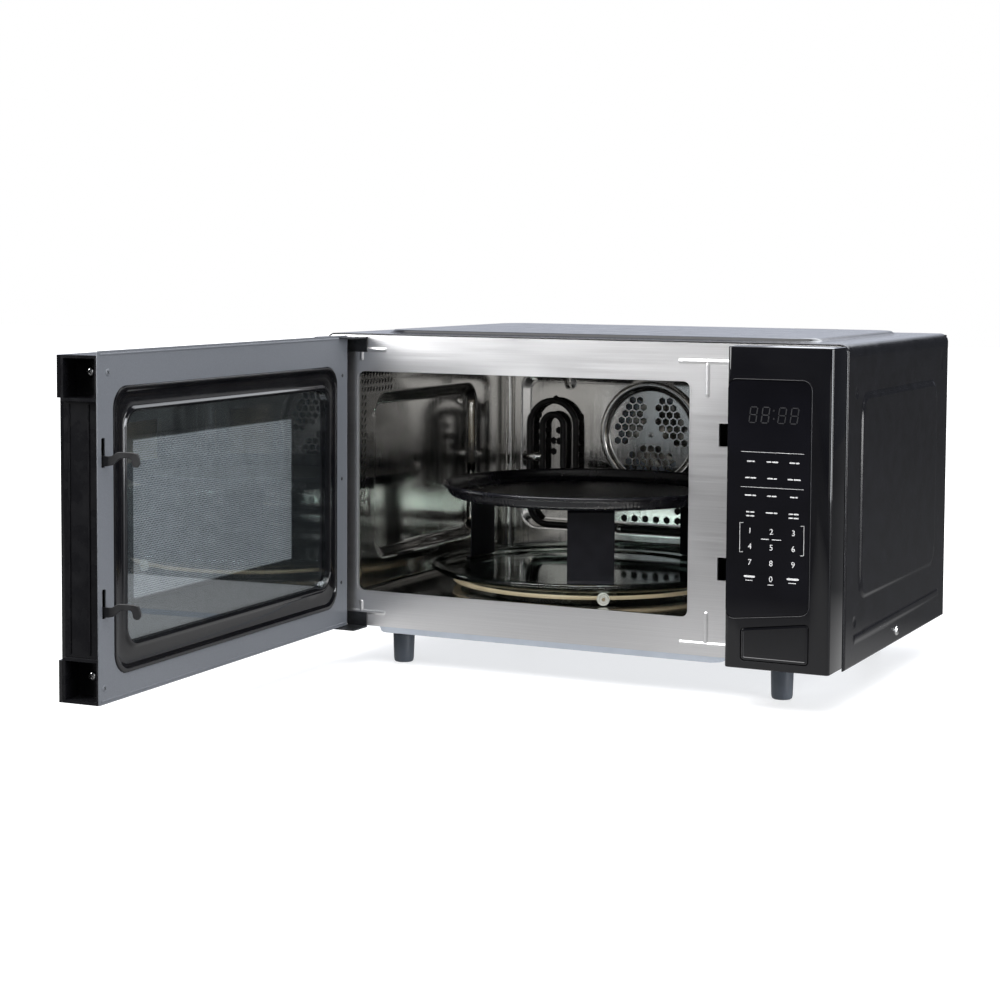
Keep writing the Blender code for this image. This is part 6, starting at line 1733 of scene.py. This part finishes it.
# ---- room ----
def make_room():
    size = 8.0
    floor = bpy.data.meshes.new("studio_floor")
    floor.from_pydata(
        [(-size, -size, 0), (size, -size, 0), (size, size, 0), (-size, size, 0)], [], [(0, 1, 2, 3)]
    )
    made = bpy.data.objects.new("studio_floor", floor)
    bpy.context.scene.collection.objects.link(made)
    look = bpy.data.materials.new("look_floor")
    look.use_nodes = True
    tree = look.node_tree
    shader = tree.nodes["Principled BSDF"]
    cloud = texture(tree, 0.8, 1.0)
    path = tree.nodes.new("ShaderNodeLightPath")
    seen = path.outputs["Is Camera Ray"]
    place = tree.nodes.new("ShaderNodeTexCoord")
    away = tree.nodes.new("ShaderNodeVectorMath")
    away.operation = "LENGTH"
    tree.links.new(place.outputs["Object"], away.inputs[0])
    glow = tree.nodes.new("ShaderNodeMix")
    glow.data_type = "FLOAT"
    tree.links.new(seen, glow.inputs["Factor"])
    tree.links.new(ranged(tree, away.outputs["Value"], 0.55, 0.02, 0.25, 0.62), glow.inputs["A"])
    tree.links.new(ranged(tree, away.outputs["Value"], 0.58, 1.00, 0.45, 1.20), glow.inputs["B"])
    tree.links.new(glow.outputs["Result"], shader.inputs["Emission Strength"])
    tree.links.new(
        blended(tree, seen, (0.03, 0.03, 0.03), (0.42, 0.42, 0.42), 0.0, 1.0), shader.inputs["Base Color"]
    )
    tree.links.new(ranged(tree, cloud.outputs["Fac"], 0.40, 0.46), shader.inputs["Roughness"])
    shader.inputs["Emission Color"].default_value = (1, 1, 1, 1)
    shader.inputs["Specular IOR Level"].default_value = 0.10
    floor.materials.append(look)


def make_world():
    """White behind the object for the camera. Reflections see a dark studio with a bright far wall."""
    world = bpy.data.worlds.new("studio")
    bpy.context.scene.world = world
    world.use_nodes = True
    tree = world.node_tree
    output = tree.nodes["World Output"]
    white = tree.nodes["Background"]
    white.inputs["Color"].default_value = (1, 1, 1, 1)
    white.inputs["Strength"].default_value = 1.0
    soft = tree.nodes.new("ShaderNodeBackground")
    place = tree.nodes.new("ShaderNodeTexCoord")
    split = tree.nodes.new("ShaderNodeSeparateXYZ")
    tree.links.new(place.outputs["Generated"], split.inputs["Vector"])
    wall = tree.nodes.new("ShaderNodeMath")
    wall.operation = "MULTIPLY"
    tree.links.new(ranged(tree, split.outputs["Y"], 0.0, 1.0, 0.35, 0.85), wall.inputs[0])
    tree.links.new(ranged(tree, split.outputs["Z"], 0.0, 1.0, -0.02, 0.04), wall.inputs[1])
    side = tree.nodes.new("ShaderNodeMath")
    side.operation = "MULTIPLY"
    tree.links.new(wall.outputs["Value"], side.inputs[0])
    tree.links.new(ranged(tree, split.outputs["X"], 1.0, 0.0, -0.15, 0.10), side.inputs[1])
    studio = blended(tree, side.outputs["Value"], (0.040, 0.043, 0.050), (0.72, 0.76, 0.87), 0.0, 1.0)
    tree.links.new(studio, soft.inputs["Color"])
    soft.inputs["Strength"].default_value = 1.0
    path = tree.nodes.new("ShaderNodeLightPath")
    mix = tree.nodes.new("ShaderNodeMixShader")
    tree.links.new(path.outputs["Is Camera Ray"], mix.inputs["Fac"])
    tree.links.new(soft.outputs["Background"], mix.inputs[1])
    tree.links.new(white.outputs["Background"], mix.inputs[2])
    tree.links.new(mix.outputs["Shader"], output.inputs["Surface"])


def add_light(name, place, target, size, power, colour=(1, 1, 1)):
    light = bpy.data.lights.new(name, "AREA")
    light.shape = "RECTANGLE"
    light.size, light.size_y = size
    light.energy = power
    light.color = colour
    made = bpy.data.objects.new(name, light)
    bpy.context.scene.collection.objects.link(made)
    made.location = place
    made.rotation_euler = (Vector(target) - Vector(place)).to_track_quat("-Z", "Y").to_euler()
    return made


def make_lights():
    add_light("overhead", (-0.2, -0.9, 2.0), (0, 0, 0.15), (2.4, 1.4), 62)
    add_light("left_front", (-1.8, -1.9, 1.3), (0.0, 0, 0.20), (1.2, 1.6), 74)
    add_light("right_front", (2.2, -0.55, 0.60), (-0.24, -0.25, 0.17), (0.9, 1.2), 46, (0.93, 0.96, 1))
    add_light("behind", (0.3, 1.9, 1.4), (0.0, 0.3, 0.25), (1.8, 0.9), 16, (0.93, 0.96, 1))
    add_light("right_card", (1.30, -2.40, 0.45), (-0.05, 0.10, 0.17), (1.8, 1.5), 7.0)
    add_light("side_strip", (2.2, 1.05, 0.45), (0.26, 0.10, 0.18), (0.5, 1.3), 16)
    sky = bpy.data.lights.new("floor_wash", "SUN")
    sky.energy = 3.0
    sky.angle = math.radians(80)
    made = bpy.data.objects.new("floor_wash", sky)
    bpy.context.scene.collection.objects.link(made)


def make_camera():
    """The eye stands at the right of the oven and looks back to the left across the open door."""
    lens = bpy.data.cameras.new("camera")
    lens.sensor_width = 36
    lens.lens = 76.8
    lens.shift_y = -0.1
    lens.dof.use_dof = False
    made = bpy.data.objects.new("camera", lens)
    bpy.context.scene.collection.objects.link(made)
    yaw, pitch, roll = 0.4542, 0.0653, 0.00596
    place = ORIGIN + Vector((0.7971, -1.7829, 0.3897))
    turn = Matrix.Rotation(yaw, 4, "Z") @ Matrix.Rotation(
        math.pi / 2 - pitch, 4, "X"
    ) @ Matrix.Rotation(roll, 4, "Z")
    made.matrix_world = Matrix.Translation(place) @ turn
    bpy.context.scene.camera = made


def paint_frame():
    """Gives each CAD solid that is still shown the finish of its slot."""
    for entry in frame["record"]["subparts"]:
        node = frame["nodes"][entry["node"]]
        look = "hinge_dark" if entry["node"].startswith("hinge_") else entry["material_slot"]
        node.data.materials.clear()
        node.data.materials.append(finish_named(look))


make_finishes()
paint_frame()
make_case_shell()
make_screw("side_screw", (CASE_HALF, 0.171, 0.0440), (1, 0, 0), 0.0045, 0.0021, stands_for=("case_screw",))
make_base_tray()
make_feet()
make_rear()
make_frame_details()
make_panel()
make_button()
make_marks()
make_cavity_walls()
make_back_wall()
make_grille()
make_hot_air_fan()
make_heater()
make_tray()
make_carrier()
make_pan()
make_door_sheet()
make_choke_ring()
make_screen()
make_latch()
make_door_edges()
make_button_coil()
make_room()
make_world()
make_lights()
make_camera()
bpy.context.scene.view_settings.view_transform = "Standard"

bpy.context.view_layer.update()
